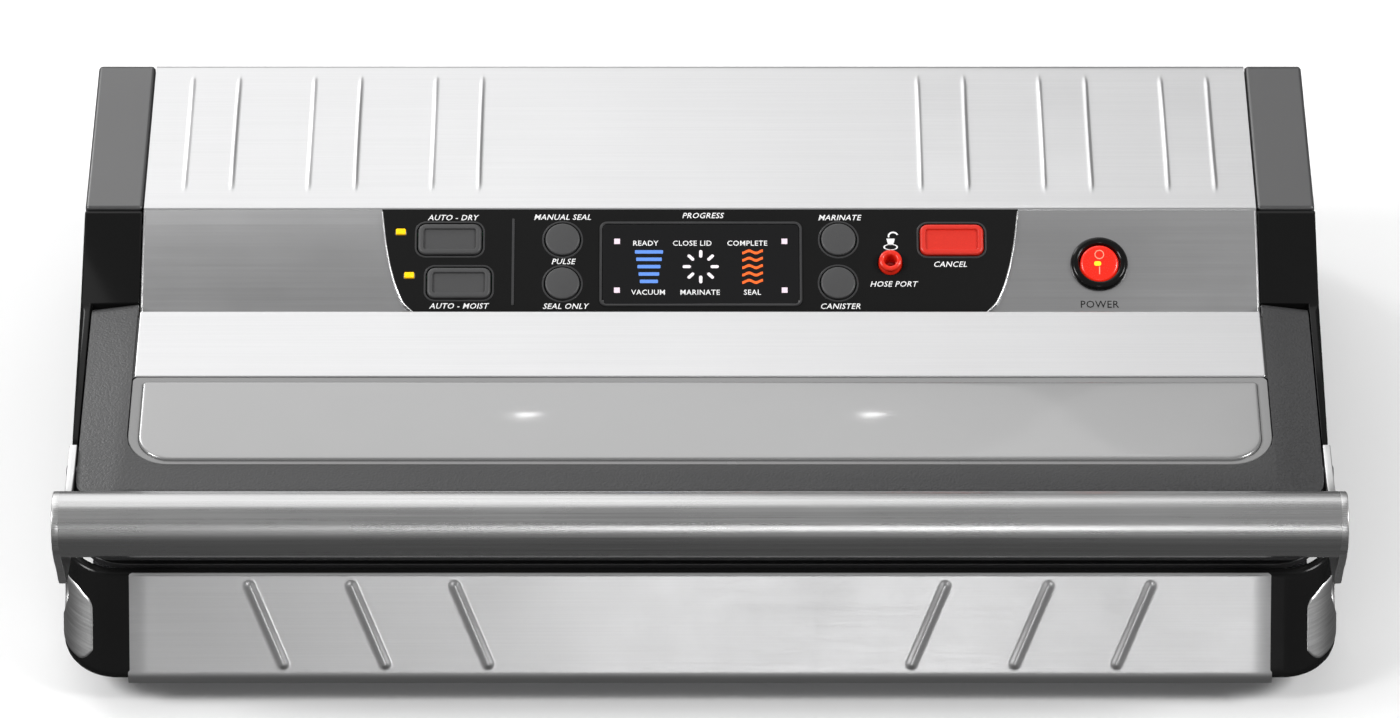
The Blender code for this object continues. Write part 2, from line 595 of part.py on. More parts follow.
def build_works():
    floor = PAN_HIGH + GAP
    transformer = block("transformer", (-195, 60, floor), (-140, 115, 62))
    join(transformer, cylinder("coil", (-167.5, 87.5, 70), 22, 20, steps=24))
    paint(COPPER, transformer)

    motor = cylinder("pump_motor", (0, PUMP_Y, PUMP_Z), 24, 60, axis="X", steps=28)
    join(motor, block("saddle", (-22, PUMP_Y - 14, floor), (22, PUMP_Y + 14, PUMP_Z - 15)))
    cut(motor, cylinder("bore", (0, PUMP_Y, PUMP_Z), 3.1, 80, axis="X", steps=20))
    paint(ZINC, motor)
    shaft = cylinder("pump_shaft", (0, PUMP_Y, PUMP_Z), 2.5, 104, axis="X", steps=20)
    throw = 1.5
    for side in (-1, 1):
        join(shaft, cylinder("eccentric", (side * ECCENTRIC_X, PUMP_Y + throw, PUMP_Z), 6, 8, axis="X", steps=20))
    paint(STEEL, shaft)

    for side, word in ((-1, "left"), (1, "right")):
        x = side * ECCENTRIC_X
        ring = cylinder(f"pump_rod_{word}", (x, PUMP_Y, PUMP_Z), 13, 5, axis="X", steps=28)
        join(ring, block("link", (x - 2.4, PUMP_Y - 30, PUMP_Z - 3), (x + 2.4, PUMP_Y - 11, PUMP_Z + 3)),
             cylinder("piston", (x, PUMP_Y - 31, PUMP_Z), 9, 5, axis="Y", steps=24))
        cut(ring, cylinder("eye", (x, PUMP_Y, PUMP_Z), 9.4, 20, axis="X", steps=28))
        paint(ZINC, ring)
        head = block(f"pump_head_{word}", (x - 14, PUMP_Y - 52, floor), (x + 14, PUMP_Y - 24, PUMP_Z + 15))
        cut(head, cylinder("cylinder", (x, PUMP_Y - 30, PUMP_Z), 9.3, 20, axis="Y", steps=24))
        paint(ZINC, head)
        hinge_parent(f"rod_guide_{word}", at(x, PUMP_Y, PUMP_Z), ring)
    hinge_parent("shaft_axis", at(0, PUMP_Y, PUMP_Z), shaft)

    valve = block("solenoid_valve", (90, 62, floor), (116, 92, 48))
    paint(WHITE, valve)
    hose_radius = 3.0
    pump_hose = pipe("pump_hose", [(46, 57.5, 55), (46, 50, 55), (52, 40, 48), (68, 36, 38), (84, 38, 34),
                                   (96, 50, 34), (97, 61.5, 34)], hose_radius)
    chamber_hose = pipe("chamber_hose", [(109, 61.5, 36), (109, 52, 36), (106, 34, 31), (102, 12, 28), (100, -2, 28),
                                         (100, -15, 28)], hose_radius)
    paint(HOSE, pump_hose, chamber_hose)


build_base()
build_chamber()
build_lid()
build_panel()
build_rear()
build_works()
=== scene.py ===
import json
import math
import bmesh
import bpy
import numpy as np
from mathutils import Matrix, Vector


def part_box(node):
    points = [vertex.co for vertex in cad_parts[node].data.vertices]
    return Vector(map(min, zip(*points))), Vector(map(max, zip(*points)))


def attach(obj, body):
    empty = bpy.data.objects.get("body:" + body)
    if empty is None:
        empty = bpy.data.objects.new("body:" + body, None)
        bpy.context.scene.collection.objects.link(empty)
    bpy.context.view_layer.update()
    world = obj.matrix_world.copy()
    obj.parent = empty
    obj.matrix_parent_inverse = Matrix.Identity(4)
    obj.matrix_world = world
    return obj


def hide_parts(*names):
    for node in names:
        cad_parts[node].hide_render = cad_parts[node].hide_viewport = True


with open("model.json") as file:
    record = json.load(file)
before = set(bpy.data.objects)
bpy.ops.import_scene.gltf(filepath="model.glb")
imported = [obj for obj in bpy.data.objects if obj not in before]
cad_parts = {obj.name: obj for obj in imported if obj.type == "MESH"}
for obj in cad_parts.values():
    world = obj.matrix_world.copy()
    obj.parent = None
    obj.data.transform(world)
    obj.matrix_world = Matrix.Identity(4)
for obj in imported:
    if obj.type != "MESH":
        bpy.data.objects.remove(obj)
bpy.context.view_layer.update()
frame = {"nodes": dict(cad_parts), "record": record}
mm = 0.001
bodyOf = {node: body for body, nodes in frame["record"]["behaviour"]["bodies"].items() for node in nodes}


def boxMm(node):
    low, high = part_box(node)
    return np.array(low) / mm, np.array(high) / mm


# ---- surfaces ----

def gridFaces(rows, cols, wrapRows=False, wrapCols=False):
    # quads between neighbouring rows and columns of a point grid
    r, c = np.meshgrid(np.arange(rows - (not wrapRows)), np.arange(cols - (not wrapCols)), indexing="ij")
    down, right = (r + 1) % rows, (c + 1) % cols
    corners = [r * cols + c, r * cols + right, down * cols + right, down * cols + c]
    return np.stack(corners, -1).reshape(-1, 4)


def meshPiece(name, points, faces, outward=True):
    # points in millimetres; closed shells get their faces turned outwards
    mesh = bpy.data.meshes.new(name)
    mesh.from_pydata((np.asarray(points, float).reshape(-1, 3) * mm).tolist(), [], faces)
    piece = bpy.data.objects.new(name, mesh)
    bpy.context.scene.collection.objects.link(piece)
    if outward:
        work = bmesh.new()
        work.from_mesh(mesh)
        bmesh.ops.recalc_face_normals(work, faces=work.faces)
        work.to_mesh(mesh)
        work.free()
    return piece


def finish(piece, material, node, replaces=True, sharp=35):
    # material, smooth shading, and the body that the named CAD part rides on
    piece.data.materials.clear()
    piece.data.materials.append(material)
    piece.data.shade_smooth()
    piece.data.set_sharp_from_angle(angle=math.radians(sharp))
    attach(piece, bodyOf[node])
    if replaces:
        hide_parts(node)
    return piece


def plan(u, v, w):
    return np.stack(np.broadcast_arrays(u, v, w), -1)


def side(u, v, w):
    return np.stack(np.broadcast_arrays(w, u, v), -1)


def tilted(origin, angle):
    # frame whose u runs across, v up the slope and w out of it
    c, s = math.cos(angle), math.sin(angle)

    def place(u, v, w):
        u, v, w = np.broadcast_arrays(u, v, w)
        return np.stack([u, origin[1] + v * c - w * s, origin[2] + v * s + w * c], -1)
    return place


def arc(centre, radius, start, end, count=8):
    a = np.radians(np.linspace(start, end, count + 1))
    return np.stack([centre[0] + radius * np.cos(a), centre[1] + radius * np.sin(a)], -1)


def roundedLoop(x0, y0, x1, y1, radii, count=10):
    # counter-clockwise rounded rectangle, quarter arcs from the lower left corner on
    radii = [radii] * 4 if np.isscalar(radii) else radii
    corners = ((x0, y0, 1, 1), (x1, y0, -1, 1), (x1, y1, -1, -1), (x0, y1, 1, -1))
    return np.concatenate([arc((x + sx * r, y + sy * r), r, first, first + 90, count)
                           for (x, y, sx, sy), r, first in zip(corners, radii, (180, 270, 0, 90))])


def insetBox(low, high, inset, radii, count=10):
    # rounded outline of a box seen from above
    return roundedLoop(low[0] + inset, low[1] + inset, high[0] - inset, high[1] - inset, radii, count)


def middleLoop(x, y, halfWide, halfTall, radius, count=4):
    return roundedLoop(x - halfWide, y - halfTall, x + halfWide, y + halfTall, radius, count)


def circleLoop(x, y, radius, count=64):
    return arc((x, y), radius, 0, 360, count)[:-1]


def smoothLoop(points, perSpan=6):
    # closed Catmull-Rom curve through the points, all spans at once
    p = np.asarray(points, float)
    a, b, c, d = np.roll(p, 1, 0), p, np.roll(p, -1, 0), np.roll(p, -2, 0)
    t = (np.arange(perSpan) / perSpan)[None, :, None]
    a, b, c, d = (q[:, None, :] for q in (a, b, c, d))
    square, cube = 2 * a - 5 * b + 4 * c - d, 3 * b - a - 3 * c + d
    return (0.5 * (2 * b + (c - a) * t + square * t ** 2 + cube * t ** 3)).reshape(-1, 2)


def insetLoop(loop, distance):
    # each point moves along the mean of its two edges' inward normals
    ahead = np.roll(loop, -1, 0) - loop
    ahead /= np.linalg.norm(ahead, axis=1, keepdims=True) + 1e-9
    behind = np.roll(ahead, 1, 0)
    left = np.stack([-ahead[:, 1], ahead[:, 0]], -1)
    inward = left + np.stack([-behind[:, 1], behind[:, 0]], -1)
    inward /= np.linalg.norm(inward, axis=1, keepdims=True) + 1e-9
    return loop + inward * distance / np.clip((inward * left).sum(1, keepdims=True), 0.5, 1)


def roundSteps(low, high, radius, lowRadius=None, count=4):
    # (inset, height) from the bottom's middle round both edges to the top's middle
    lowRadius = radius if lowRadius is None else lowRadius
    a = np.linspace(0, math.pi / 2, count + 1)
    bottom = [(lowRadius * (1 - math.sin(t)), low + lowRadius * (1 - math.cos(t))) for t in a]
    top = [(radius * (1 - math.cos(t)), high - radius * (1 - math.sin(t))) for t in a]
    return [(lowRadius + 0.2, low)] + bottom + top + [(radius + 0.2, high)]


def stack(name, rings, closed=False):
    # closed body from loops of equal length: capped at both ends, or joined into a ring
    rings = np.asarray(rings)
    count, size = rings.shape[:2]
    faces = gridFaces(count, size, wrapRows=closed, wrapCols=True).tolist()
    if not closed:
        faces += [list(range(size))[::-1], list(range((count - 1) * size, count * size))]
    return meshPiece(name, rings, faces)


def slab(name, loop, steps, place=plan):
    rings = [place(*insetLoop(loop, inset).T, height) for inset, height in steps]
    return stack(name, rings)


def lathe(name, profile, place, count=72, closed=False):
    # profile of (radius, height) turned about the frame's w axis
    a = np.linspace(0, 2 * math.pi, count, endpoint=False)
    rings = [place(r * np.cos(a), r * np.sin(a), h) for r, h in profile]
    return stack(name, rings, closed)


def shell(name, top, under):
    # closed sheet from two equal grids of points, joined by a skirt round their rims
    rows, cols = top.shape[:2]
    n = rows * cols
    faces = gridFaces(rows, cols)
    ends = [np.arange(cols), (rows - 1) * cols + np.arange(cols - 2, -1, -1)]
    sides = [np.arange(1, rows) * cols + cols - 1, np.arange(rows - 2, 0, -1) * cols]
    rim = np.concatenate([ends[0], sides[0], ends[1], sides[1]])
    nextRim = np.roll(rim, -1)
    skirt = np.stack([rim, rim + n, nextRim + n, nextRim], -1)
    points = np.concatenate([top.reshape(-1, 3), under.reshape(-1, 3)])
    return meshPiece(name, points, np.concatenate([faces, faces[:, ::-1] + n, skirt]).tolist())


def meshPoints(mesh):
    flat = np.empty(len(mesh.vertices) * 3)
    mesh.vertices.foreach_get("co", flat)
    return flat.reshape(-1, 3) / mm


def nodePoints(node):
    return meshPoints(frame["nodes"][node].data)


def softened(node, material, width=0.6, segments=2, angle=40, reshape=None, cuts=()):
    # the CAD part's own shape with its flat faces merged and its edges rounded
    source = frame["nodes"][node]
    mesh = source.data.copy()
    work = bmesh.new()
    work.from_mesh(mesh)
    bmesh.ops.remove_doubles(work, verts=work.verts, dist=2e-6)
    bmesh.ops.dissolve_limit(work, angle_limit=math.radians(1), verts=work.verts, edges=work.edges)
    for spot, normal in cuts:
        everything = list(work.verts) + list(work.edges) + list(work.faces)
        bmesh.ops.bisect_plane(work, geom=everything, plane_co=Vector(spot) * mm, plane_no=normal)
    if reshape:
        points = reshape(np.array([v.co for v in work.verts]) / mm) * mm
        for vertex, point in zip(work.verts, points):
            vertex.co = point
    work.to_mesh(mesh)
    work.free()
    piece = bpy.data.objects.new(f"{node}_finished", mesh)
    bpy.context.scene.collection.objects.link(piece)
    finish(piece, material, node)
    edge = piece.modifiers.new("edges", "BEVEL")
    edge.width = width * mm
    edge.segments = segments
    edge.limit_method = "ANGLE"
    edge.angle_limit = math.radians(angle)
    edge.harden_normals = True
    return piece


def smoothStep(t):
    t = np.clip(t, 0, 1)
    return t * t * (3 - 2 * t)


def dense(low, high, coarse, fine, centres, reach):
    # coordinates every coarse mm, and every fine mm within reach of the given centres
    parts = [np.arange(low, high, coarse), [high]]
    parts += [np.arange(max(low, c - reach), min(high, c + reach), fine) for c in centres]
    return np.unique(np.round(np.concatenate(parts), 2))


# ---- materials ----

def shaderGroup(name, inputs, outputs):
    group = bpy.data.node_groups.new(name, "ShaderNodeTree")
    for label, kind, value in inputs:
        socket = group.interface.new_socket(label, in_out="INPUT", socket_type=kind)
        socket.default_value = value
    for label, kind in outputs:
        group.interface.new_socket(label, in_out="OUTPUT", socket_type=kind)
    return group, group.nodes.new("NodeGroupInput"), group.nodes.new("NodeGroupOutput")


def addNode(tree, kind, settings=None, **inputs):
    # sockets are given by name, or by number as i0, i1 and so on
    node = tree.nodes.new("ShaderNode" + kind)
    for key, value in (settings or {}).items():
        setattr(node, key, value)
    for key, value in inputs.items():
        numbered = key[0] == "i" and key[1:].isdigit()
        socket = node.inputs[int(key[1:]) if numbered else key.replace("_", " ")]
        if isinstance(value, bpy.types.NodeSocket):
            tree.links.new(value, socket)
        else:
            socket.default_value = value
    return node


def makeBrushedGrain():
    # long streaks: object coordinates squeezed across the brushing direction, fine and broad noise
    group, given, result = shaderGroup("brushedGrain", [("Stretch", "NodeSocketVector", (8, 1500, 1500))],
                                       [("Streak", "NodeSocketFloat")])
    place = addNode(group, "TexCoord").outputs["Object"]
    fineSpot = addNode(group, "VectorMath", {"operation": "MULTIPLY"}, i0=place,
                       i1=given.outputs["Stretch"])
    fine = addNode(group, "TexNoise", Vector=fineSpot.outputs[0], Scale=1.0, Detail=4.0, Roughness=0.7)
    broadSpot = addNode(group, "VectorMath", {"operation": "SCALE"}, i0=fineSpot.outputs[0], Scale=0.12)
    broad = addNode(group, "TexNoise", Vector=broadSpot.outputs[0], Scale=1.0, Detail=2.0)
    tone = addNode(group, "Mix", {"data_type": "FLOAT"}, i0=0.15, i2=fine.outputs[0], i3=broad.outputs[0])
    streak = addNode(group, "MapRange", i0=tone.outputs[0], i1=0.3, i2=0.7, i3=0.0, i4=1.0)
    group.links.new(streak.outputs[0], result.inputs["Streak"])
    return group


def makeHandling():
    # faint smudges: slow noise with finer detail
    group, given, result = shaderGroup("handling", [("Scale", "NodeSocketFloat", 14.0),
                                                    ("Amount", "NodeSocketFloat", 0.1)],
                                       [("Smudge", "NodeSocketFloat")])
    place = addNode(group, "TexCoord").outputs["Object"]
    slow = addNode(group, "TexNoise", Vector=place, Scale=given.outputs["Scale"], Detail=4.0,
                   Roughness=0.65)
    mapped = addNode(group, "MapRange", i0=slow.outputs[0], i1=0.35, i2=0.75, i3=0.0,
                     i4=given.outputs["Amount"])
    group.links.new(mapped.outputs[0], result.inputs["Smudge"])
    return group


def makeSpark():
    # spark-eroded mould texture: fine cells under finer noise
    group, given, result = shaderGroup("sparkTexture", [("Scale", "NodeSocketFloat", 1600.0)],
                                       [("Height", "NodeSocketFloat")])
    place = addNode(group, "TexCoord").outputs["Object"]
    cells = addNode(group, "TexVoronoi", {"feature": "SMOOTH_F1"}, Vector=place,
                    Scale=given.outputs["Scale"])
    grain = addNode(group, "TexNoise", Vector=place, Scale=given.outputs["Scale"], Detail=3.0)
    height = addNode(group, "Mix", {"data_type": "FLOAT"}, i0=0.5, i2=cells.outputs[0], i3=grain.outputs[0])
    group.links.new(height.outputs[0], result.inputs["Height"])
    return group


brushedGrain, handling, sparkTexture = makeBrushedGrain(), makeHandling(), makeSpark()


def groupNode(tree, group, **inputs):
    node = addNode(tree, "Group", {"node_tree": group})
    for key, value in inputs.items():
        node.inputs[key].default_value = value
    return node


def newMaterial(name, **sockets):
    material = bpy.data.materials.new(name)
    material.use_nodes = True
    shader = material.node_tree.nodes["Principled BSDF"]
    for key, value in sockets.items():
        shader.inputs[key.replace("_", " ")].default_value = value
    return material, material.node_tree, shader


def brushedMetal(name, colour, stretch, roughness=0.3, contrast=0.3, relief=0.15, smudge=0.06, spread=0.02):
    material, tree, shader = newMaterial(name, Metallic=1.0)
    grain = groupNode(tree, brushedGrain, Stretch=stretch)
    marks = groupNode(tree, handling, Scale=9.0, Amount=smudge)
    dark = tuple(c * (1 - contrast) for c in colour) + (1,)
    light = tuple(min(1, c * (1 + contrast * 0.4)) for c in colour) + (1,)
    mixed = addNode(tree, "Mix", {"data_type": "RGBA"}, i0=grain.outputs["Streak"], i6=dark, i7=light)
    tree.links.new(mixed.outputs[2], shader.inputs["Base Color"])
    rough = addNode(tree, "MapRange", i0=grain.outputs["Streak"], i3=roughness - spread,
                    i4=roughness + spread)
    worn = addNode(tree, "Math", {"operation": "ADD"}, i0=rough.outputs[0], i1=marks.outputs["Smudge"])
    tree.links.new(worn.outputs[0], shader.inputs["Roughness"])
    bump = addNode(tree, "Bump", Strength=relief, Distance=0.0002, Height=grain.outputs["Streak"])
    tree.links.new(bump.outputs[0], shader.inputs["Normal"])
    return material


def moulded(name, colour, roughness, relief=0.0, grainScale=1600.0, smudge=0.08, variation=0.12, glint=0.04,
            **sockets):
    material, tree, shader = newMaterial(name, **sockets)
    marks = groupNode(tree, handling, Scale=16.0, Amount=1.0)
    spark = groupNode(tree, sparkTexture, Scale=grainScale)
    dark = tuple(c * (1 - variation) for c in colour) + (1,)
    light = tuple(min(1, c * (1 + variation)) for c in colour) + (1,)
    mixed = addNode(tree, "Mix", {"data_type": "RGBA"}, i0=spark.outputs["Height"], i6=dark, i7=light)
    tree.links.new(mixed.outputs[2], shader.inputs["Base Color"])
    rough = addNode(tree, "MapRange", i0=marks.outputs["Smudge"], i3=roughness, i4=roughness + smudge)
    grain = addNode(tree, "MapRange", i0=spark.outputs["Height"], i1=0.25, i2=0.75, i3=-glint, i4=glint)
    both = addNode(tree, "Math", {"operation": "ADD"}, i0=rough.outputs[0], i1=grain.outputs[0])
    tree.links.new(both.outputs[0], shader.inputs["Roughness"])
    if relief:
        bump = addNode(tree, "Bump", Strength=relief, Distance=0.0002, Height=spark.outputs["Height"])
        tree.links.new(bump.outputs[0], shader.inputs["Normal"])
    return material


def glowing(name, colour, strength, base=None):
    material = moulded(name, base or colour, 0.25, variation=0.05)
    shader = material.node_tree.nodes["Principled BSDF"]
    shader.inputs["Emission Color"].default_value = (*colour, 1)
    shader.inputs["Emission Strength"].default_value = strength
    return material


acrossGrain = (7.0, 1400.0, 1400.0)
steelSheet = brushedMetal("steelSheet", (0.655, 0.655, 0.66), acrossGrain, 0.3, 0.06, 0.035)
panelSteel = brushedMetal("panelSteel", (0.57, 0.57, 0.575), acrossGrain, 0.3, 0.05, 0.03)
tubeSteel = brushedMetal("tubeSteel", (0.62, 0.62, 0.62), (5.0, 900.0, 900.0), 0.25, 0.2, 0.08)
armSteel = brushedMetal("armSteel", (0.74, 0.74, 0.74), (900.0, 12.0, 900.0), 0.28, 0.2, 0.1)
inlaySteel = brushedMetal("inlaySteel", (0.6, 0.6, 0.6), (60.0, 60.0, 1400.0), 0.34, 0.25, 0.12)
zincSteel = brushedMetal("zincSteel", (0.55, 0.55, 0.58), (300.0, 300.0, 300.0), 0.4, 0.2, 0.1)
texturedBlack = moulded("texturedBlack", (0.022, 0.022, 0.023), 0.42, 1.0, 1150.0, variation=0.9, glint=0.14,
                        Specular_IOR_Level=0.7)
satinBlack = moulded("satinBlack", (0.03, 0.03, 0.031), 0.42, 0.08, 2400.0)
capBlack = moulded("capBlack", (0.022, 0.022, 0.023), 0.4, 0.1, 2400.0, Specular_IOR_Level=1.0,
                   Coat_Weight=0.7, Coat_Roughness=0.4)
glossBlack = moulded("glossBlack", (0.006, 0.006, 0.006), 0.14, 0.0, Specular_IOR_Level=0.15)
overlayBlack = moulded("overlayBlack", (0.009, 0.009, 0.009), 0.3, 0.05, 2600.0, Specular_IOR_Level=0.1)
rimGrey = moulded("rimGrey", (0.035, 0.035, 0.036), 0.35, 0.05, 2600.0)
displayBlack = moulded("displayBlack", (0.004, 0.004, 0.0045), 0.08)
windowPane = moulded("windowPane", (0.32, 0.32, 0.32), 0.24, 0.0, grainScale=60.0, glint=0.01, smudge=0.02,
                     variation=0.02, Metallic=0.6, Coat_Weight=0.7, Coat_Roughness=0.04)
windowEdge = moulded("windowEdge", (0.2, 0.2, 0.2), 0.22, 0.0, grainScale=60.0, glint=0.01, variation=0.02)
buttonGrey = moulded("buttonGrey", (0.05, 0.05, 0.051), 0.48, 0.2, 2200.0)
buttonRed = moulded("buttonRed", (0.62, 0.022, 0.01), 0.38, 0.1, 2200.0)
portRed = moulded("portRed", (0.75, 0.025, 0.01), 0.2)
rockerRed = glowing("rockerLit", (1.0, 0.025, 0.005), 0.4, (0.55, 0.012, 0.006))
rockerMark = glowing("rockerMark", (1.0, 0.3, 0.2), 0.3)
rockerSpark = glowing("rockerSpark", (1.0, 0.5, 0.02), 0.9)
amberLens = glowing("amberLens", (1.0, 0.55, 0.0), 0.4, (0.95, 0.56, 0.0))
whitePrint = moulded("whitePrint", (0.86, 0.86, 0.86), 0.45)
darkPrint = moulded("darkPrint", (0.006, 0.006, 0.006), 0.6, Specular_IOR_Level=0.2)
blueBar = glowing("blueBar", (0.12, 0.3, 0.8), 0.3, (0.1, 0.22, 0.6))
orangeWave = glowing("orangeWave", (1.0, 0.16, 0.02), 0.25, (0.8, 0.12, 0.02))
whiteRay = glowing("whiteRay", (0.95, 0.88, 0.93), 0.15, (0.8, 0.74, 0.78))
pinkDot = glowing("pinkDot", (1.0, 0.75, 0.85), 0.15, (0.75, 0.62, 0.7))
footRubber = moulded("footRubber", (0.02, 0.02, 0.02), 0.75, 0.4, 900.0)
foamRubber = moulded("foamRubber", (0.028, 0.028, 0.028), 0.85, 0.9, 700.0)
redSilicone = moulded("redSilicone", (0.42, 0.09, 0.045), 0.55, 0.2, 900.0)
glassCloth = moulded("glassCloth", (0.36, 0.23, 0.11), 0.5, 0.6, 1200.0)
castMetal = moulded("castMetal", (0.5, 0.5, 0.5), 0.45, 0.5, 700.0, Metallic=1.0)
copperCoil = brushedMetal("copperCoil", (0.55, 0.25, 0.12), (60.0, 60.0, 900.0), 0.4, 0.4, 0.5)
boardGreen = moulded("boardGreen", (0.02, 0.17, 0.07), 0.35, 0.1, 500.0)
innerPlastic = moulded("innerPlastic", (0.05, 0.05, 0.05), 0.5, 0.2, 1200.0)
clearHose = moulded("clearHose", (0.55, 0.55, 0.52), 0.25, Transmission_Weight=0.35)
print("materials ready")

# ---- frames of the sloping faces ----

controlHigh = boxMm("control_sheet")[1]
housingLow, housingHigh = boxMm("base_housing")
panelTilt = math.radians(25)
panelPlace = tilted((0, controlHigh[1], controlHigh[2]), panelTilt)
frontLean = 25 / 35
frontTilt = math.atan2(1, frontLean)
frontPlace = tilted((0, housingLow[1], housingLow[2]), frontTilt)


# ---- lower housing, front sheet and side inlays ----

housing = {"frontRadius": 22, "rearRadius": 8, "edge": 4.0, "rim": 1.2, "wall": 2.8,
           "grip": (-92.0, 31.0), "gripSize": (7.2, 8.6), "gripDepth": 4.6}


def housingLoop(inset=0.0, count=22):
    h = housing
    front, rear = h["frontRadius"] - inset, h["rearRadius"] - inset
    loop = insetBox(housingLow, housingHigh, inset, [front, front, rear, rear], count)
    # the straight sides get points of their own, so that they can take the finger recesses
    right = np.stack([np.full(64, housingHigh[0] - inset), np.linspace(housingLow[1] + 24, 20, 64)], -1)
    left = right[::-1] * (-1, 1)
    per = count + 1
    return np.concatenate([loop[:2 * per], right, loop[2 * per:], left])


def leaned(points):
    # the front half slopes back as it rises, fading out along the sides
    p = points.copy()
    weight = smoothStep((20 - p[..., 1]) / 90)
    p[..., 1] += (p[..., 2] - housingLow[2]) * frontLean * weight
    return p


def recessed(points):
    # pushes the flanks in over an oval finger recess
    p = points.copy()
    (cy, cz), (ry, rz) = housing["grip"], housing["gripSize"]
    reach = np.hypot((p[..., 1] - cy) / ry, (p[..., 2] - cz) / rz)
    depth = housing["gripDepth"] * smoothStep((1.12 - reach) / 0.34)
    p[..., 0] -= np.sign(p[..., 0]) * depth * (np.abs(p[..., 0]) > housingHigh[0] - 14)
    return p


def makeHousing():
    h = housing
    low, high, r, rim = housingLow[2], housingHigh[2], h["edge"], h["rim"]
    a = np.linspace(0, math.pi / 2, 6)
    steps = [(h["wall"], low + 3), (h["wall"], low + 0.6), (r, low)]
    steps += [(r * (1 - math.sin(t)), low + r * (1 - math.cos(t))) for t in a[1:]]
    steps += [(0, z) for z in np.arange(low + r + 1, high - rim - 0.5, 1.0)]
    steps += [(rim * (1 - math.cos(t)), high - rim * (1 - math.sin(t))) for t in a]
    steps += [(h["wall"], high), (h["wall"], high - 1)]
    rings = [plan(*housingLoop(inset).T, z) for inset, z in steps]
    outer = np.array([inset < h["wall"] - 0.1 for inset, z in steps])
    rings = leaned(np.array(rings))
    rings[outer] = recessed(rings[outer])
    finish(stack("lower_housing", rings, closed=True), glossBlack, "base_housing")


frontRibs = {"top": (95.0, 135.0, 174.5), "inward": 12.9, "lowEnd": 7.4, "highEnd": 38.0, "half": 2.6,
             "height": 0.8}
frontSheet = {"proud": 0.45, "over": 0.8, "thick": 0.9}


def makeFrontSheet():
    low, high = boxMm("front_sheet")
    length = (high[2] - low[2]) / math.sin(frontTilt)
    f = frontRibs
    ribs = [s * (t - f["inward"] / 2) for s in (-1, 1) for t in f["top"]]
    u = dense(low[0], high[0], 4.0, 0.45, ribs, 11.0)
    over = frontSheet["over"]
    v = np.unique(np.concatenate([np.arange(-0.3, length + over, 0.45), [length + over]]))
    uu, vv = np.meshgrid(u, v, indexing="xy")
    height = np.full(uu.shape, frontSheet["proud"])
    for s in (-1, 1):
        for top in f["top"]:
            # distance to the rib's centre line, a segment that leans towards the middle at its lower end
            start = np.array([s * (top - f["inward"]), f["lowEnd"]])
            way = np.array([s * top, f["highEnd"]]) - start
            along = ((uu - start[0]) * way[0] + (vv - start[1]) * way[1]) / (way ** 2).sum()
            along = np.clip(along, 0, 1)
            away = np.hypot(uu - start[0] - along * way[0], vv - start[1] - along * way[1])
            height += f["height"] * smoothStep(1 - away / f["half"])
    height -= 0.085 * np.clip(4.4 - vv, 0, None) ** 2             # lower fold turns under
    height -= 0.3 * np.clip(vv - (length - 0.6), 0, None) ** 2    # upper edge rolls back
    edge = np.minimum(uu - u[0], u[-1] - uu)
    height -= 0.9 * np.clip(0.6 - edge, 0, None)
    outer, inner = frontPlace(uu, vv, height), frontPlace(uu, vv, height - frontSheet["thick"])
    finish(shell("front_cover_sheet", outer, inner), steelSheet, "front_sheet", sharp=50)


inlay = {"edge": 12.5, "length": 45.0, "proud": 0.3, "thick": 0.8}


def makeInlay(sign, node):
    # patch that follows the rounded corner: a is the way along it, b the way up
    i, r = inlay, housing["frontRadius"]
    half = housingHigh[0]
    a, b = np.linspace(0, 1, 76), np.linspace(0, 1, 44)
    aa, bb = np.meshgrid(a, b, indexing="xy")
    way = aa * i["length"]
    rise = smoothStep((way - 16) / 26)
    topEdge = 39.2 + 2.6 * smoothStep(way / 9) + 5.2 * rise - 2.5 * np.clip(1 - way / 2.2, 0, 1) ** 2
    topEdge -= 7 * np.clip((way - 42) / 3, 0, 1) ** 2
    lowEdge = 18.2 + 5.0 * np.clip(1 - way / 8, 0, 1) ** 2 + 4 * np.clip((way - 40) / 5, 0, 1) ** 2
    z = lowEdge + (topEdge - lowEdge) * bb
    phi0 = math.asin((r - i["edge"]) / r)
    turnLength = (math.pi / 2 - phi0) * r
    phi = phi0 + np.minimum(way, turnLength) / r
    border = np.minimum(np.minimum(way, i["length"] - way), (topEdge - lowEdge) * np.minimum(bb, 1 - bb))
    out = i["proud"] - 0.5 * np.clip(1 - border / 0.9, 0, 1) ** 2

    def surface(offset):
        x = half - r + (r + offset) * np.sin(phi)
        y = housingLow[1] + r - (r + offset) * np.cos(phi) + np.clip(way - turnLength, 0, None)
        p = plan(x, y + (z - housingLow[2]) * frontLean, z)
        return recessed(p) * (sign, 1, 1)
    finish(shell(f"{node}_plate", surface(out), surface(out - i["thick"])), inlaySteel, node, sharp=50)


makeHousing()
makeFrontSheet()
makeInlay(-1, "side_inlay_left")
makeInlay(1, "side_inlay_right")
print("lower housing ready")


# ---- rear cover with pressed bands ----

bands = {"first": 98.0, "pitch": 49.5, "width": 18.9, "height": 0.4, "edge": 1.3, "crease": 0.55,
         "thick": 0.7}


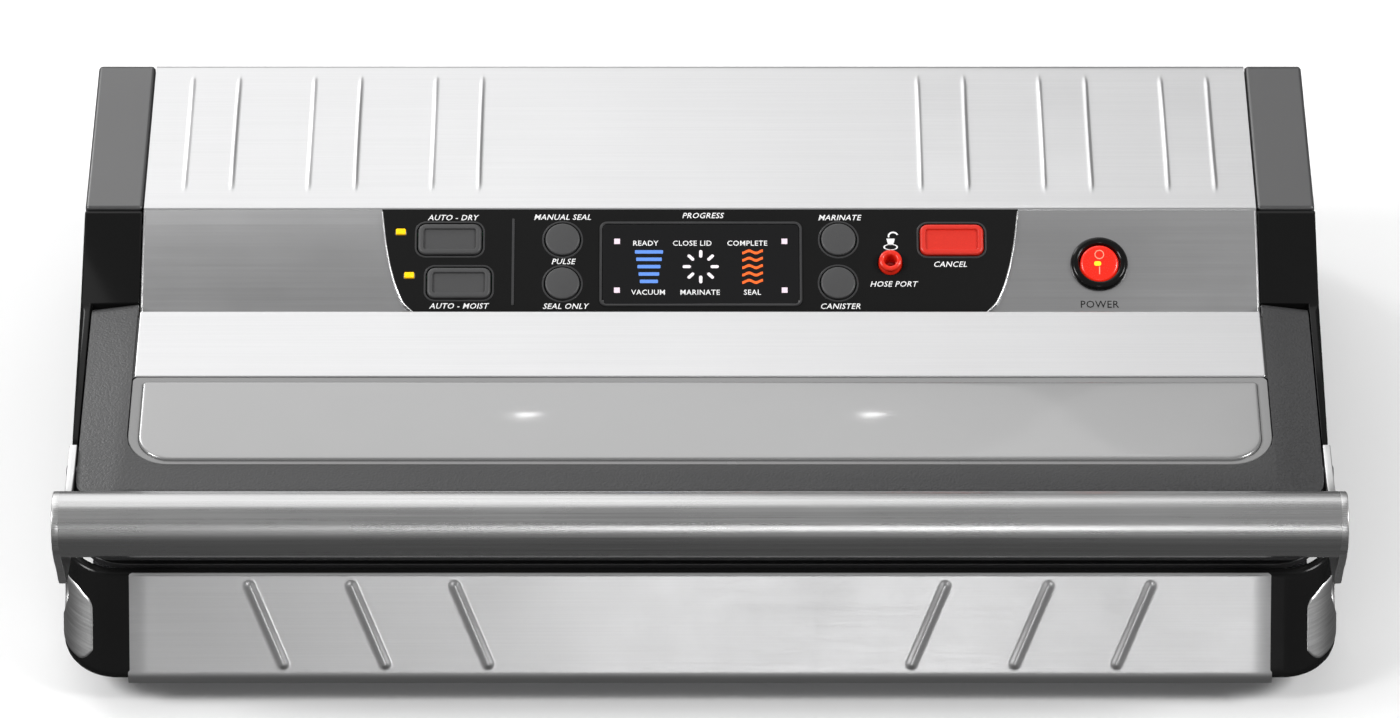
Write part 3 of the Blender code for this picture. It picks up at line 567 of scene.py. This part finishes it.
def makeRearCover():
    low, high = boxMm("rear_cover")
    r = 4.0
    top, back, front = high[2] - 0.7, high[1], low[1]
    # side profile from the front lip up over the top and down the back
    level = np.arange(front + 8, back - r, 1.5)
    profile = np.concatenate([[(front + 0.9, top - 3.2)], arc((front + 2.1, top - 1.2), 1.2, 180, 90, 5),
                              [(front + 4, top + 0.04), (front + 6, top + 0.03)],
                              np.stack([level, np.full(len(level), top)], -1),
                              arc((back - r, top - r), r, 90, 0, 8), [(back, top - 8), (back, low[2])]])
    b = bands
    centres = [s * (b["first"] + b["pitch"] * i) for s in (-1, 1) for i in range(3)]
    edges = [c + s * b["width"] / 2 for c in centres for s in (-1, 1)]
    x = dense(low[0], high[0], 6.0, 0.35, edges, 2.2)
    xx = x[None, :] + np.zeros((len(profile), 1))
    yy = profile[:, :1] + np.zeros((1, len(x)))
    zz = profile[:, 1:] + np.zeros((1, len(x)))
    bandFade = smoothStep((yy - (front + 6)) / 32) * smoothStep((back - 4 - yy) / 32)
    creaseFade = smoothStep((yy - (front + 11)) / 6) * smoothStep((back - 8 - yy) / 6)
    for c in centres:
        across = np.abs(xx - c) - b["width"] / 2
        # raised band with a crease along each long edge
        zz = zz + bandFade * b["height"] * smoothStep(0.5 - across / b["edge"])
        zz = zz + creaseFade * b["crease"] * np.exp(-(across / 0.75) ** 2)
    zz = zz - 0.12 * np.exp(-((yy - (front + 4.2)) / 0.5) ** 2) * (zz > top - 1)
    outer = plan(xx, yy, zz)
    inner = outer.copy()
    upper = (profile[:, 0] < back - 1)[:, None]
    inner[..., 2] -= b["thick"] * upper
    inner[..., 1] -= b["thick"] * ~upper
    finish(shell("rear_cover_sheet", outer, inner), steelSheet, "rear_cover", sharp=50)


flank = {"rear": 16, "level": 79, "share": 0.57, "half": 243.9}


def loweredFlank(points):
    # the wall beside the lid ends level with the lid's sloping side, a little further in
    p, f = points.copy(), flank
    beside = p[:, 1] < f["rear"]
    high = beside & (p[:, 2] > f["level"])
    p[high, 2] = f["level"] + (p[high, 2] - f["level"]) * f["share"]
    p[beside, 0] = np.clip(p[beside, 0], -f["half"], f["half"])
    return p


makeRearCover()
for word in ("left", "right"):
    softened(f"rear_cap_{word}", capBlack, 2.2, 4)
    softened(f"side_trim_{word}", glossBlack, 0.9, 3, reshape=loweredFlank)
softened("back_panel", satinBlack, 0.5)
softened("mains_inlet", innerPlastic, 0.4)
softened("bulkhead", glossBlack, 0.4)
print("rear housing ready")


# ---- lid ----

window = {"side": 4.2, "front": 1.9, "rear": 3.6, "corner": 16.6}


def makeWindow():
    low, high = boxMm("lid_window")
    top, w = high[2], window
    # flange and softly crowned pane: (share of the flange, further inset, height above the lid's top)
    flange = [(0.5, 0, -2.9), (0.05, 0, -2.9), (0, 0, -2.6), (0, 0, -0.2), (0.06, 0, 0.1), (0.3, 0, 0.16),
              (0.8, 0, 0.16), (0.95, 0, 0.05), (0.95, 0, -2.0)]
    pane = [(1, 2, -2.4), (1, 0, -2.4), (1, 0, 0.3), (1, 0.1, 0.75), (1, 0.3, 1.0), (1, 0.7, 1.16),
            (1, 1.4, 1.24), (1, 3, 1.3), (1, 7, 1.42), (1, 12, 1.5), (1, 17, 1.54), (1, 20.5, 1.55)]

    def ring(share, more, height):
        x = high[0] - w["side"] * share - more
        front, rear = low[1] + w["front"] * share + more, high[1] + 1.0 - w["rear"] * share - more
        most = (rear - front) / 2 - 0.2
        corner = min(max(w["corner"] - 3.5 * share - more * 0.7, 0.6), most)
        back = min(max(2.2 - share - more * 0.1, 0.4), most)
        return plan(*roundedLoop(-x, front, x, rear, [corner, corner, back, back], 12).T, top + height)
    edge = stack("lid_window_flange", [ring(*step) for step in flange], closed=True)
    finish(edge, windowEdge, "lid_window", sharp=40)
    finish(stack("lid_window_pane", [ring(*step) for step in pane]), windowPane, "lid_window", sharp=40)


strip = {"short": 0.5, "corner": 0.8, "thick": 0.8, "proud": 0.1, "edge": 0.45}


def makeStrip():
    low, high = boxMm("lid_strip")
    half = high[0] - strip["short"]
    loop = roundedLoop(-half, low[1], half, high[1], strip["corner"], 4)
    steps = roundSteps(high[2] - strip["thick"], high[2] + strip["proud"], strip["edge"], 0.2, 3)
    finish(slab("lid_strip_sheet", loop, steps), steelSheet, "lid_strip")


def makeTube():
    low, high = boxMm("handle_tube")
    armHigh = boxMm("arm_plate_right")[1]
    centre, radius, half = (low + high) / 2, (high[2] - low[2]) / 2, armHigh[0] - 0.02
    edge = 0.5

    def along(u, v, w):
        return side(centre[1] + u, centre[2] + v, w)
    profile = [(radius * 0.5, -half), (radius - edge - 0.3, -half), (radius - edge, -half),
               (radius - edge * 0.3, -half + edge * 0.3), (radius, -half + edge)]
    profile += [(radius, x) for x in np.linspace(-half + 1, half - 1, 9)]
    profile += [(r, -h) for r, h in profile[4::-1]]
    finish(lathe("handle_tube_bar", profile, along, 96), tubeSteel, "handle_tube")


def armLoop(node):
    low, high = boxMm("handle_tube")
    cy, cz = ((low + high) / 2)[1:]
    radius, rear = (high[2] - low[2]) / 2, boxMm(node)[1][1]
    # clockwise from the lower front: front edge, round the tube's end, down to the lid, rear end, underside
    upper = [(cy + 17.0, cz - 6.5), (cy + 26, cz - 14.5), (cy + 38, cz - 20.5), (cy + 50, cz - 23.2)]
    rearEnd = [(rear - 1.5, cz - 24.0), (rear, cz - 25.5), (rear, cz - 36), (rear - 2, cz - 38.5)]
    under = [(cy + 44, cz - 40.6), (cy + 26, cz - 38.6), (cy + 8, cz - 34.8), (cy + 3.2, cz - 33.6),
             (cy - 0.5, cz - 30)]
    front = [(cy - 4.6, cz - 20), (cy - 9.5, cz - 10.5)]
    clockwise = np.concatenate([front, arc((cy, cz), radius, 190, 28, 16), upper, rearEnd, under])
    return smoothLoop(clockwise[::-1], 4)


armScrews = ((-90.0, 78.0), (-74.0, 77.0))  # y and z of each screw


def makeArm(word):
    node = f"arm_plate_{word}"
    low, high = boxMm(node)
    steps = roundSteps(low[0], high[0], 0.35, 0.35, 3)
    finish(slab(f"{node}_bar", armLoop(node), steps, side), armSteel, node, sharp=45)
    outer, out = (high[0], 1) if word == "right" else (low[0], -1)

    def screwPlace(u, v, w):
        return side(screwSpot[0] + u, screwSpot[1] + v, outer + out * w)
    for number, screwSpot in enumerate(armScrews):
        # button-head screw with a round socket in its middle
        head = [(0.6, 0.35), (1.25, 0.35), (1.35, 1.05), (2.1, 1.0), (2.9, 0.6), (3.2, 0.15), (3.2, -0.4),
                (0.6, -0.4)]
        screw = lathe(f"arm_screw_{word}_{number}", head, screwPlace, 32)
        finish(screw, zincSteel, node, replaces=False)
    spacer = [(0.3, -3.3), (2.4, -3.3), (2.4, -2.95), (0.3, -2.95)]
    finish(lathe(f"arm_spacer_{word}", spacer, screwPlace, 24), zincSteel, node, replaces=False)


makeWindow()
makeStrip()
makeTube()
makeArm("left")
makeArm("right")
lidSides = {"inner": 222.5, "outer": 241.0, "drop": 3.2, "from": 66.0}


def slopedSides(points):
    # the lid's top falls away towards both sides, outside the window
    p, l = points.copy(), lidSides
    share = np.clip((np.abs(p[:, 0]) - l["inner"]) / (l["outer"] - l["inner"]), 0, 1)
    top = boxMm("lid_frame")[1][2]
    p[:, 2] -= l["drop"] * share * np.clip((p[:, 2] - l["from"]) / (top - l["from"]), 0, 1)
    return p


lidCuts = [((s * x, 0, 0), (1, 0, 0)) for s in (-1, 1) for x in (222.8, 228, 233, 237)]
softened("lid_frame", texturedBlack, 1.3, 3, reshape=slopedSides, cuts=lidCuts)
softened("lid_liner", satinBlack, 0.5)


gasketWidth, gasketCorner = 8.0, 16


def gasket(node, name, upward):
    # rounded rubber lip swept round the chamber: D-shaped section, its soft side away from its seat
    low, high = boxMm(node)
    wide, tall = gasketWidth, high[2] - low[2]
    a = np.linspace(0, math.pi, 11)
    section = [(wide / 2 - wide / 2 * math.cos(t), tall * 0.45 + tall * 0.55 * math.sin(t)) for t in a]
    section = [(0.6, 0.0), (0.0, 0.5)] + section + [(wide, 0.5), (wide - 0.6, 0.0)]
    rings = []
    for inset, h in section:
        z = low[2] + h if upward else high[2] - h
        rings.append(plan(*insetBox(low, high, inset, gasketCorner - inset, 12).T, z))
    finish(stack(name, rings, closed=True), foamRubber, node)


gasket("lower_gasket", "lower_gasket_lip", True)
gasket("upper_gasket", "upper_gasket_lip", False)
softened("chamber_deck", satinBlack, 1.2, 3)
softened("seal_bar", satinBlack, 0.5)
softened("pressure_strip", redSilicone, 0.8, 3)
frame["nodes"]["heating_element"].data.materials[0] = zincSteel
frame["nodes"]["release_tape"].data.materials[0] = glassCloth
print("lid and chamber ready")

# ---- control panel ----

def panelLocal(points):
    # (down the slope is negative) and (out of the panel) coordinates of points
    c, s = math.cos(panelTilt), math.sin(panelTilt)
    y, z = points[:, 1] - controlHigh[1], points[:, 2] - controlHigh[2]
    return y * c + z * s, z * c - y * s


panel = {"reach": 1.6, "bead": 0.34, "length": 44.4, "crown": 0.8}
overlayTop = panelLocal(nodePoints("control_overlay"))[1].max()
sheetHeights = panelLocal(nodePoints("control_sheet"))[1]
sheetTop = np.median(sheetHeights[sheetHeights > -0.5])
buttonTop = overlayTop + 1.0


def reachUp(points):
    # carries the upper edge on to the rear cover's lip
    v = panelLocal(points)[0]
    extra = panel["reach"] * (v > -3)
    return points + np.stack([0 * v, extra * math.cos(panelTilt), extra * math.sin(panelTilt)], -1)


def sheetSag(v):
    # the pressed sheet is slightly crowned across the slope
    half = panel["length"] / 2
    return panel["crown"] * ((v + half) / half) ** 2


def crowned(points):
    points = reachUp(points)
    sag = sheetSag(panelLocal(points)[0])
    return points + np.stack([0 * sag, sag * math.sin(panelTilt), -sag * math.cos(panelTilt)], -1)


slopeWay = (0, math.cos(panelTilt), math.sin(panelTilt))
sheetCuts = [(panelPlace(0, v, 0).tolist(), slopeWay) for v in np.arange(-41, 0, 4.0)]
softened("control_sheet", panelSteel, 0.35, reshape=crowned, cuts=sheetCuts)
softened("control_overlay", overlayBlack, 0.3, reshape=reachUp)


def makeBead(name, line, level, node):
    # bright bead: a round section swept along a line on the panel
    ahead = np.gradient(line, axis=0)
    ahead /= np.linalg.norm(ahead, axis=1, keepdims=True)
    across = np.stack([ahead[:, 1], -ahead[:, 0]], -1)
    a = np.linspace(0, 2 * math.pi, 12, endpoint=False)
    rings = [panelPlace(*(p + n * (panel["bead"] * np.cos(a))[:, None]).T, h + panel["bead"] * np.sin(a))
             for p, n, h in zip(line, across, level)]
    finish(stack(name, rings), armSteel, node, replaces=False)


def makeBeads(sign, word):
    # the overlay's outer edge bulges past the straight line between its ends; its button holes don't
    points = reachUp(nodePoints("control_overlay"))
    v, w = panelLocal(points)
    pick = (w > overlayTop - 0.05) & (points[:, 0] * sign > 100)
    order = np.argsort(-v[pick])
    line = np.stack([points[pick][:, 0][order], v[pick][order]], -1)
    chord = np.interp(-line[:, 1], [-line[0, 1], -line[-1, 1]], [abs(line[0, 0]), abs(line[-1, 0])])
    keep = np.abs(line[:, 0]) > chord + 1.2
    keep[[0, -1]] = True
    line = line[keep]
    line = line[np.concatenate([[True], np.linalg.norm(np.diff(line, axis=0), axis=1) > 0.05])]
    t = np.linspace(0, len(line) - 1, 60)
    line = np.stack([np.interp(t, np.arange(len(line)), line[:, k]) for k in (0, 1)], -1)
    padded = np.pad(line, ((3, 3), (0, 0)), mode="edge")
    line = np.stack([np.convolve(padded[:, k], np.ones(7) / 7, "valid") for k in (0, 1)], -1)
    makeBead(f"overlay_bead_{word}", line, np.full(60, overlayTop - 0.25), "control_sheet")
    # bright bead down the sheet's outer side: a painted highlight, brighter steel laid along the edge where
    # the sheet's own edge should catch the light
    v = np.linspace(panel["reach"] - 0.6, -panel["length"] + 0.8, 30)
    x = np.full(30, sign * (controlHigh[0] - 0.5))
    makeBead(f"sheet_edge_highlight_bead_{word}", np.stack([x, v], -1), sheetTop - sheetSag(v) - 0.1, "control_sheet")


makeBeads(-1, "left")
makeBeads(1, "right")


def panelCentre(node):
    middle = sum(boxMm(node)) / 2
    return middle[0], panelLocal(middle[None])[0][0]


pill = {"x": 12.65, "y": 6.6, "corner": 3.2, "dish": 2.1, "dishDepth": 0.85}
discRadius = 6.85


def makeButton(node, material):
    x, v = panelCentre(node)
    low, high = boxMm(node)
    # (inset, height over the button's top) of the part above the skirt
    if abs(high[0] - low[0] - 2 * discRadius) < 1:
        loop = circleLoop(x, v, discRadius)
        crest = [(0.0, -0.5), (0.12, -0.2), (0.45, -0.02), (0.8, 0.03), (2.5, 0.12), (4.5, 0.2), (6.2, 0.22)]
    else:
        loop = middleLoop(x, v, pill["x"], pill["y"], pill["corner"], 8)
        d, deep = pill["dish"], pill["dishDepth"]
        crest = [(0.0, -0.9), (0.15, -0.4), (0.5, -0.08), (0.9, 0.04), (d - 0.2, 0.06), (d, 0),
                 (d + 0.12, -deep * 0.5), (d + 0.3, -deep), (d + 0.7, -deep)]
    steps = [(1.0, -2.2), (0.1, -2.2), (0.0, -2.0)] + [(inset, buttonTop + h) for inset, h in crest]
    finish(slab(f"{node}_cap", loop, steps, panelPlace), material, node, sharp=60)
    # raised rim that frames the hole in the overlay
    rimLoop = insetLoop(loop, -0.55)
    rim = [(0.0, -0.5), (0.0, 0.1), (-0.2, 0.28), (-0.5, 0.28), (-0.75, 0.05), (-0.75, -0.5)]
    rings = [panelPlace(*insetLoop(rimLoop, inset).T, overlayTop + height) for inset, height in rim]
    finish(stack(f"{node}_rim", rings, closed=True), rimGrey, "control_overlay", replaces=False)


for node in [n for n in frame["nodes"] if n.startswith("button_")]:
    makeButton(node, buttonRed if node == "button_cancel" else buttonGrey)

for node in ("indicator_dry", "indicator_moist"):
    steps = roundSteps(overlayTop - 0.6, overlayTop + 0.35, 0.3, 0.1, 3)
    lens = slab(f"{node}_lens", middleLoop(*panelCentre(node), 1.95, 1.2, 0.4), steps, panelPlace)
    finish(lens, amberLens, node)


def flatShape(name, loop, material, low, high, node="control_overlay"):
    piece = slab(name, np.asarray(loop, float), [(0.0, low), (0.0, high - 0.03), (0.03, high)], panelPlace)
    return finish(piece, material, node, replaces=False)


display = {"width": 78.4, "height": 34.6, "lens": overlayTop + 0.3}


def makeDisplay():
    node = "display_window"
    x, v = panelCentre(node)
    loop = middleLoop(x, v, display["width"] / 2, display["height"] / 2, 2, 8)
    steps = roundSteps(overlayTop - 0.4, display["lens"], 0.3, 0.1, 3)
    finish(slab("display_lens", loop, steps, panelPlace), displayBlack, node)
    # thin raised frame round the lens
    rim = [(0.0, -0.4), (0.0, 0.5), (-0.25, 0.7), (-0.7, 0.7), (-1.0, 0.4), (-1.0, -0.4)]
    rings = [panelPlace(*insetLoop(loop, inset - 0.1).T, overlayTop + height) for inset, height in rim]
    finish(stack("display_frame", rings, closed=True), rimGrey, node, replaces=False)
    level = (display["lens"] - 0.1, display["lens"] + 0.06)
    for i in range(5):
        # five bars, each shorter than the one above
        half, y = 5.6 - 0.5 * i, v + 5.2 - 3.2 * i
        flatShape(f"level_bar_{i}", middleLoop(x - 20.6, y, half, 0.75, 0.3, 3), blueBar, *level, node)
        # five waves
        t = np.linspace(-1, 1, 25)
        line = np.stack([x + 20.6 + 4.1 * t, y + 0.5 * np.sin(t * math.pi * 1.5 + math.pi)], -1)
        wave = np.concatenate([line + (0, -0.6), line[::-1] + (0, 0.6)])
        flatShape(f"heat_wave_{i}", wave, orangeWave, *level, node)
    for i in range(8):
        # eight rays round a centre
        angle = i * math.pi / 4
        ray = roundedLoop(3.9, -0.65, 7.2, 0.65, 0.6, 3)
        c, s = math.cos(angle), math.sin(angle)
        ray = np.stack([x + ray[:, 0] * c - ray[:, 1] * s, v - 1.2 + ray[:, 0] * s + ray[:, 1] * c], -1)
        flatShape(f"progress_ray_{i}", ray, whiteRay, *level, node)
    for i, (dx, dv) in enumerate(((-33.3, 9.8), (33.3, 9.8), (-33.3, -11.4), (33.3, -11.4))):
        flatShape(f"corner_dot_{i}", middleLoop(x + dx, v + dv, 1.15, 1.15, 0.06, 2), pinkDot, *level, node)


makeDisplay()
divider = roundedLoop(-74.9, -41, -73.9, -3.4, 0.4, 4)
flatShape("group_divider", divider, rimGrey, overlayTop - 0.2, overlayTop + 0.25)


def panelText(name, words, x, v, height, material, slant=0.25, level=overlayTop + 0.03, bold=0.0):
    # flat lettering, centred on x and v
    curve = bpy.data.curves.new(name, "FONT")
    curve.body = words
    curve.size = height * mm / 0.7
    curve.shear = slant
    curve.align_x = "CENTER"
    curve.extrude = 0.04 * mm
    curve.offset = bold * mm
    curve.resolution_u = 2
    curve.space_character = 1.06
    source = bpy.data.objects.new(name, curve)
    bpy.context.scene.collection.objects.link(source)
    bpy.context.view_layer.update()
    mesh = bpy.data.meshes.new_from_object(source.evaluated_get(bpy.context.evaluated_depsgraph_get()))
    bpy.data.objects.remove(source)
    work = bmesh.new()
    work.from_mesh(mesh)
    bmesh.ops.remove_doubles(work, verts=work.verts, dist=1e-7)
    work.to_mesh(mesh)
    work.free()
    flat = meshPoints(mesh)
    placed = panelPlace(x + flat[:, 0], v - height / 2 + flat[:, 1], level + flat[:, 2]) * mm
    mesh.vertices.foreach_set("co", placed.ravel())
    piece = bpy.data.objects.new(name, mesh)
    bpy.context.scene.collection.objects.link(piece)
    return finish(piece, material, "control_overlay", replaces=False)


# generic function words: (words, x, distance down the slope)
legends = (("AUTO - DRY", -98.6, 2.9), ("AUTO - MOIST", -95.8, 41.3), ("MANUAL SEAL", -54.9, 2.7),
           ("PULSE", -54.5, 22.0), ("SEAL ONLY", -53.5, 41.4), ("PROGRESS", 1.0, 2.0),
           ("MARINATE", 55.5, 2.9), ("CANISTER", 55.6, 41.4), ("CANCEL", 99.4, 23.2),
           ("HOSE PORT", 76.8, 31.8))
for number, (words, x, down) in enumerate(legends):
    panelText(f"legend_{number}", words, x, -down, 2.35, whitePrint, bold=0.02)
displayLegends = (("READY", -21.7, 14.2), ("CLOSE LID", -3.1, 14.2), ("COMPLETE", 18.8, 14.2),
                  ("VACUUM", -20.5, 35.5), ("MARINATE", 0.0, 35.5), ("SEAL", 20.8, 35.5))
printLevel = display["lens"] + 0.04
for number, (words, x, down) in enumerate(displayLegends):
    panelText(f"display_legend_{number}", words, x, -down, 2.2, whitePrint, 0.0, printLevel, 0.015)
panelText("power_legend", "POWER", 158.6, -39.8, 3.0, darkPrint, 0.0, sheetTop - sheetSag(-39.8) + 0.06)


def makeHoseSign(x, v):
    # small picture above the port: bent hose, connector and round lid
    level = (overlayTop - 0.2, overlayTop + 0.07)
    a = np.radians(np.linspace(200, 20, 14))
    outer = np.stack([x + 1.0 + 2.1 * np.cos(a), v + 6.0 + 1.9 * np.sin(a)], -1)
    inner = np.stack([x + 1.0 + 1.5 * np.cos(a[::-1]), v + 6.0 + 1.3 * np.sin(a[::-1])], -1)
    flatShape("hose_sign_bend", np.concatenate([outer, inner]), whitePrint, *level)
    neck = [(x - 1.0, v + 2.2), (x + 1.0, v + 2.2), (x + 1.7, v + 4.9), (x - 1.7, v + 4.9)]
    flatShape("hose_sign_neck", neck, whitePrint, *level)
    a = np.linspace(0, 2 * math.pi, 40, endpoint=False)
    rings = [panelPlace(x + r * np.cos(a), v + 1.2 + 0.45 * r * np.sin(a), h)
             for r, h in ((2.9, level[0]), (2.9, level[1]), (2.3, level[1]), (2.3, level[0]))]
    finish(stack("hose_sign_lid", rings, closed=True), whitePrint, "control_overlay", replaces=False)


makeHoseSign(75.9, -17.0)


port = {"x": 75.7, "v": -22.5, "top": 4.3, "lipCentre": 3.5, "lip": 1.1}


def makePort():
    p, top = port, port["top"]

    def place(a, b, w):
        return panelPlace(p["x"] + a, p["v"] + b, w)
    # flared lip over a short neck, with a stepped bore
    lip = arc((p["lipCentre"], top - p["lip"]), p["lip"], -90, 180, 12).tolist()
    bore = [(2.4, top - 2.5), (1.9, -3.0), (1.0, -3.2), (1.0, -6), (4.6, -6), (4.9, -2)]
    profile = [(4.9, 0.4)] + lip + bore
    finish(lathe("accessory_port_nozzle", profile, place, 64, closed=True), portRed, "accessory_port")


switch = {"x": 158.8, "v": -22.7, "bezel": 11.5, "rocker": 7.6, "tipped": 7, "markTop": 4.58}


def makeSwitch():
    x, v = switch["x"], switch["v"]

    def place(a, b, w):
        return panelPlace(x + a, v + b, w)
    # domed round bezel: rises from the sheet to a rounded crest and falls into the opening
    bezel, turn = switch["bezel"], np.radians(np.linspace(0, 90, 7))
    dome = [(bezel - 2 * (1 - math.cos(t)), 0.3 + 2.2 * math.sin(t)) for t in turn]
    opening = [(8.9, 2.45), (8.4, 2.1), (8.2, 1.4), (8.2, -8), (9.2, -8), (9.2, 0.0)]
    profile = [(bezel, 0.02)] + dome + opening
    finish(lathe("switch_bezel_ring", profile, place, 96, closed=True), glossBlack, "switch_bezel")
    rockerPlace = tilted(panelPlace(x, v, -2.0), panelTilt + math.radians(switch["tipped"]))

    def rock(a, b, w):
        return rockerPlace(x + a, b, w)
    steps = [(1.5, 0.1), (0.2, 0.1), (0.0, 0.4), (0.0, 3.4), (0.15, 3.9), (0.6, 4.3), (1.2, 4.45),
             (3.0, 4.3), (5.0, 4.15), (7.2, 4.1)]
    cap = slab("power_rocker_cap", circleLoop(0, 0, switch["rocker"]), steps, rock)
    finish(cap, rockerRed, "power_rocker")

    def mark(name, shape, material, top):
        piece = slab(name, shape, [(0.0, 3.9), (0.0, top - 0.05), (0.05, top)], rock)
        finish(piece, material, "power_rocker", replaces=False)
    a = np.linspace(0, 2 * math.pi, 40, endpoint=False)
    markTop = switch["markTop"]
    section = ((1.9, 4.0), (1.9, markTop), (1.55, markTop), (1.55, 4.0))
    rings = [rock(r * np.cos(a), 3.6 + r * np.sin(a), h) for r, h in section]
    finish(stack("rocker_mark_o", rings, closed=True), rockerMark, "power_rocker", replaces=False)
    mark("rocker_mark_i", roundedLoop(-0.22, -4.6, 0.22, -1.4, 0.15, 3), rockerMark, markTop)
    mark("rocker_glow", roundedLoop(-2.1, -1.0, 0.7, 0.9, 0.8, 4), rockerSpark, 4.3)


makePort()
makeSwitch()
print("control panel ready")

# ---- feet, floor pan and the works inside ----

for word in ("front_left", "front_right", "rear_left", "rear_right"):
    low, high = boxMm(f"foot_{word}")
    cx, cy = (low[:2] + high[:2]) / 2

    def footPlace(a, b, w):
        return plan(cx + a, cy + b, w)
    profile = [(0.5, high[2]), (8.6, high[2]), (9.0, high[2] - 0.4), (9.3, 7.4), (8.7, 7.0), (8.7, 6.2),
               (9.5, 5.8), (10.9, 1.4), (10.6, 0.5), (9.8, 0.0), (7.2, 0.0), (6.8, 0.5), (0.5, 0.5)]
    finish(lathe(f"foot_{word}_pad", profile[::-1], footPlace, 48), footRubber, f"foot_{word}")

innerParts = {  # node: material, width of its rounded edges
    "bottom_pan": (zincSteel, 0.4), "transformer": (copperCoil, 0.6), "circuit_board": (boardGreen, 0.2),
    "lid_switch": (innerPlastic, 0.5), "solenoid_valve": (innerPlastic, 0.8), "pump_motor": (castMetal, 0.8),
    "pump_head_left": (castMetal, 1.0), "pump_head_right": (castMetal, 1.0),
    "pump_rod_left": (castMetal, 0.4), "pump_rod_right": (castMetal, 0.4), "pump_shaft": (zincSteel, 0.3)}
for node, (material, width) in innerParts.items():
    softened(node, material, width)
for node in ("pump_hose", "chamber_hose"):
    frame["nodes"][node].data.materials[0] = clearHose

pinRadius = 1.4  # thinner than the pin in its bore


def makePin(word):
    low, high = boxMm(f"hinge_pin_{word}")
    centre = (low + high) / 2
    steps = [(0.3, low[0]), (0, low[0] + 0.3), (0, high[0] - 0.3), (0.3, high[0])]
    pin = slab(f"hinge_pin_{word}_bar", circleLoop(centre[1], centre[2], pinRadius), steps, side)
    finish(pin, glossBlack, f"hinge_pin_{word}")


makePin("left")
makePin("right")
print("inner works ready")

# ---- floor, lights and camera ----

floorMaterial = moulded("floorPaper", (0.92, 0.92, 0.92), 0.7, variation=0.01)
corners = [(-6000, -6000, 0), (6000, -6000, 0), (6000, 9000, 0), (-6000, 9000, 0)]
floor = meshPiece("floor", corners, [(0, 1, 2, 3)], False)
floor.data.materials.append(floorMaterial)
floor.visible_glossy = False

scene = bpy.context.scene
scene.view_settings.view_transform = "Standard"
world = bpy.data.worlds.new("studio")
scene.world = world
world.use_nodes = True
# even sky, falling to a dim ground below the horizon
ray = addNode(world.node_tree, "TexCoord").outputs["Generated"]
height = addNode(world.node_tree, "SeparateXYZ", Vector=ray).outputs["Z"]
level = addNode(world.node_tree, "MapRange", i0=height, i1=-0.12, i2=0.1, i3=0.1, i4=0.31)
world.node_tree.links.new(level.outputs[0], world.node_tree.nodes["Background"].inputs[1])
world.node_tree.nodes["Background"].inputs[0].default_value = (1, 1, 1, 1)

aim = (0, 0, 0.05)
lamps = {  # place, size, power
    "skyRear": ((-0.85, 2.2, 1.65), (2.2, 2.6), 20.0),
    "skyRight": ((0.8, 2.2, 2.0), (1.0, 1.5), 3.4),
    "cardLeft": ((-1.75, 1.9, 1.5), (0.7, 1.3), 18.0),
    "sideLeft": ((-2.4, -0.7, 2.2), (1.0, 1.0), 70),
    "sideRight": ((2.4, -0.7, 2.2), (1.0, 1.0), 66),
    "front": ((0.18, -2.6, 1.45), (0.38, 0.6), 3.9),
    "top": ((-0.45, 0.78, 2.2), (1.6, 0.6), 3.2),
    "glintLeft": ((-0.14, 2.17, 2.1), (0.014, 0.014), 0.022),
    "glintRight": ((0.14, 2.17, 2.1), (0.014, 0.014), 0.022),
}


def addLamp(name, place, size, power):
    lamp = bpy.data.lights.new(name, "AREA")
    lamp.shape = "RECTANGLE"
    lamp.size, lamp.size_y = size
    lamp.energy = power
    holder = bpy.data.objects.new(name, lamp)
    scene.collection.objects.link(holder)
    holder.location = place
    holder.rotation_euler = (Vector(aim) - Vector(place)).to_track_quat("-Z", "Y").to_euler()


for name, facts in lamps.items():
    addLamp(name, *facts)

cameraFacts = {"back": 1.979, "up": 1.951, "depression": 42.0, "lens": 183.9}
cameraData = bpy.data.cameras.new("camera")
cameraData.lens = cameraFacts["lens"]
cameraData.clip_end = 50
camera = bpy.data.objects.new("camera", cameraData)
scene.collection.objects.link(camera)
foot = housingLow * mm
camera.location = (0, foot[1] - cameraFacts["back"], foot[2] + cameraFacts["up"])
camera.rotation_euler = (math.radians(90 - cameraFacts["depression"]), 0, 0)
scene.camera = camera
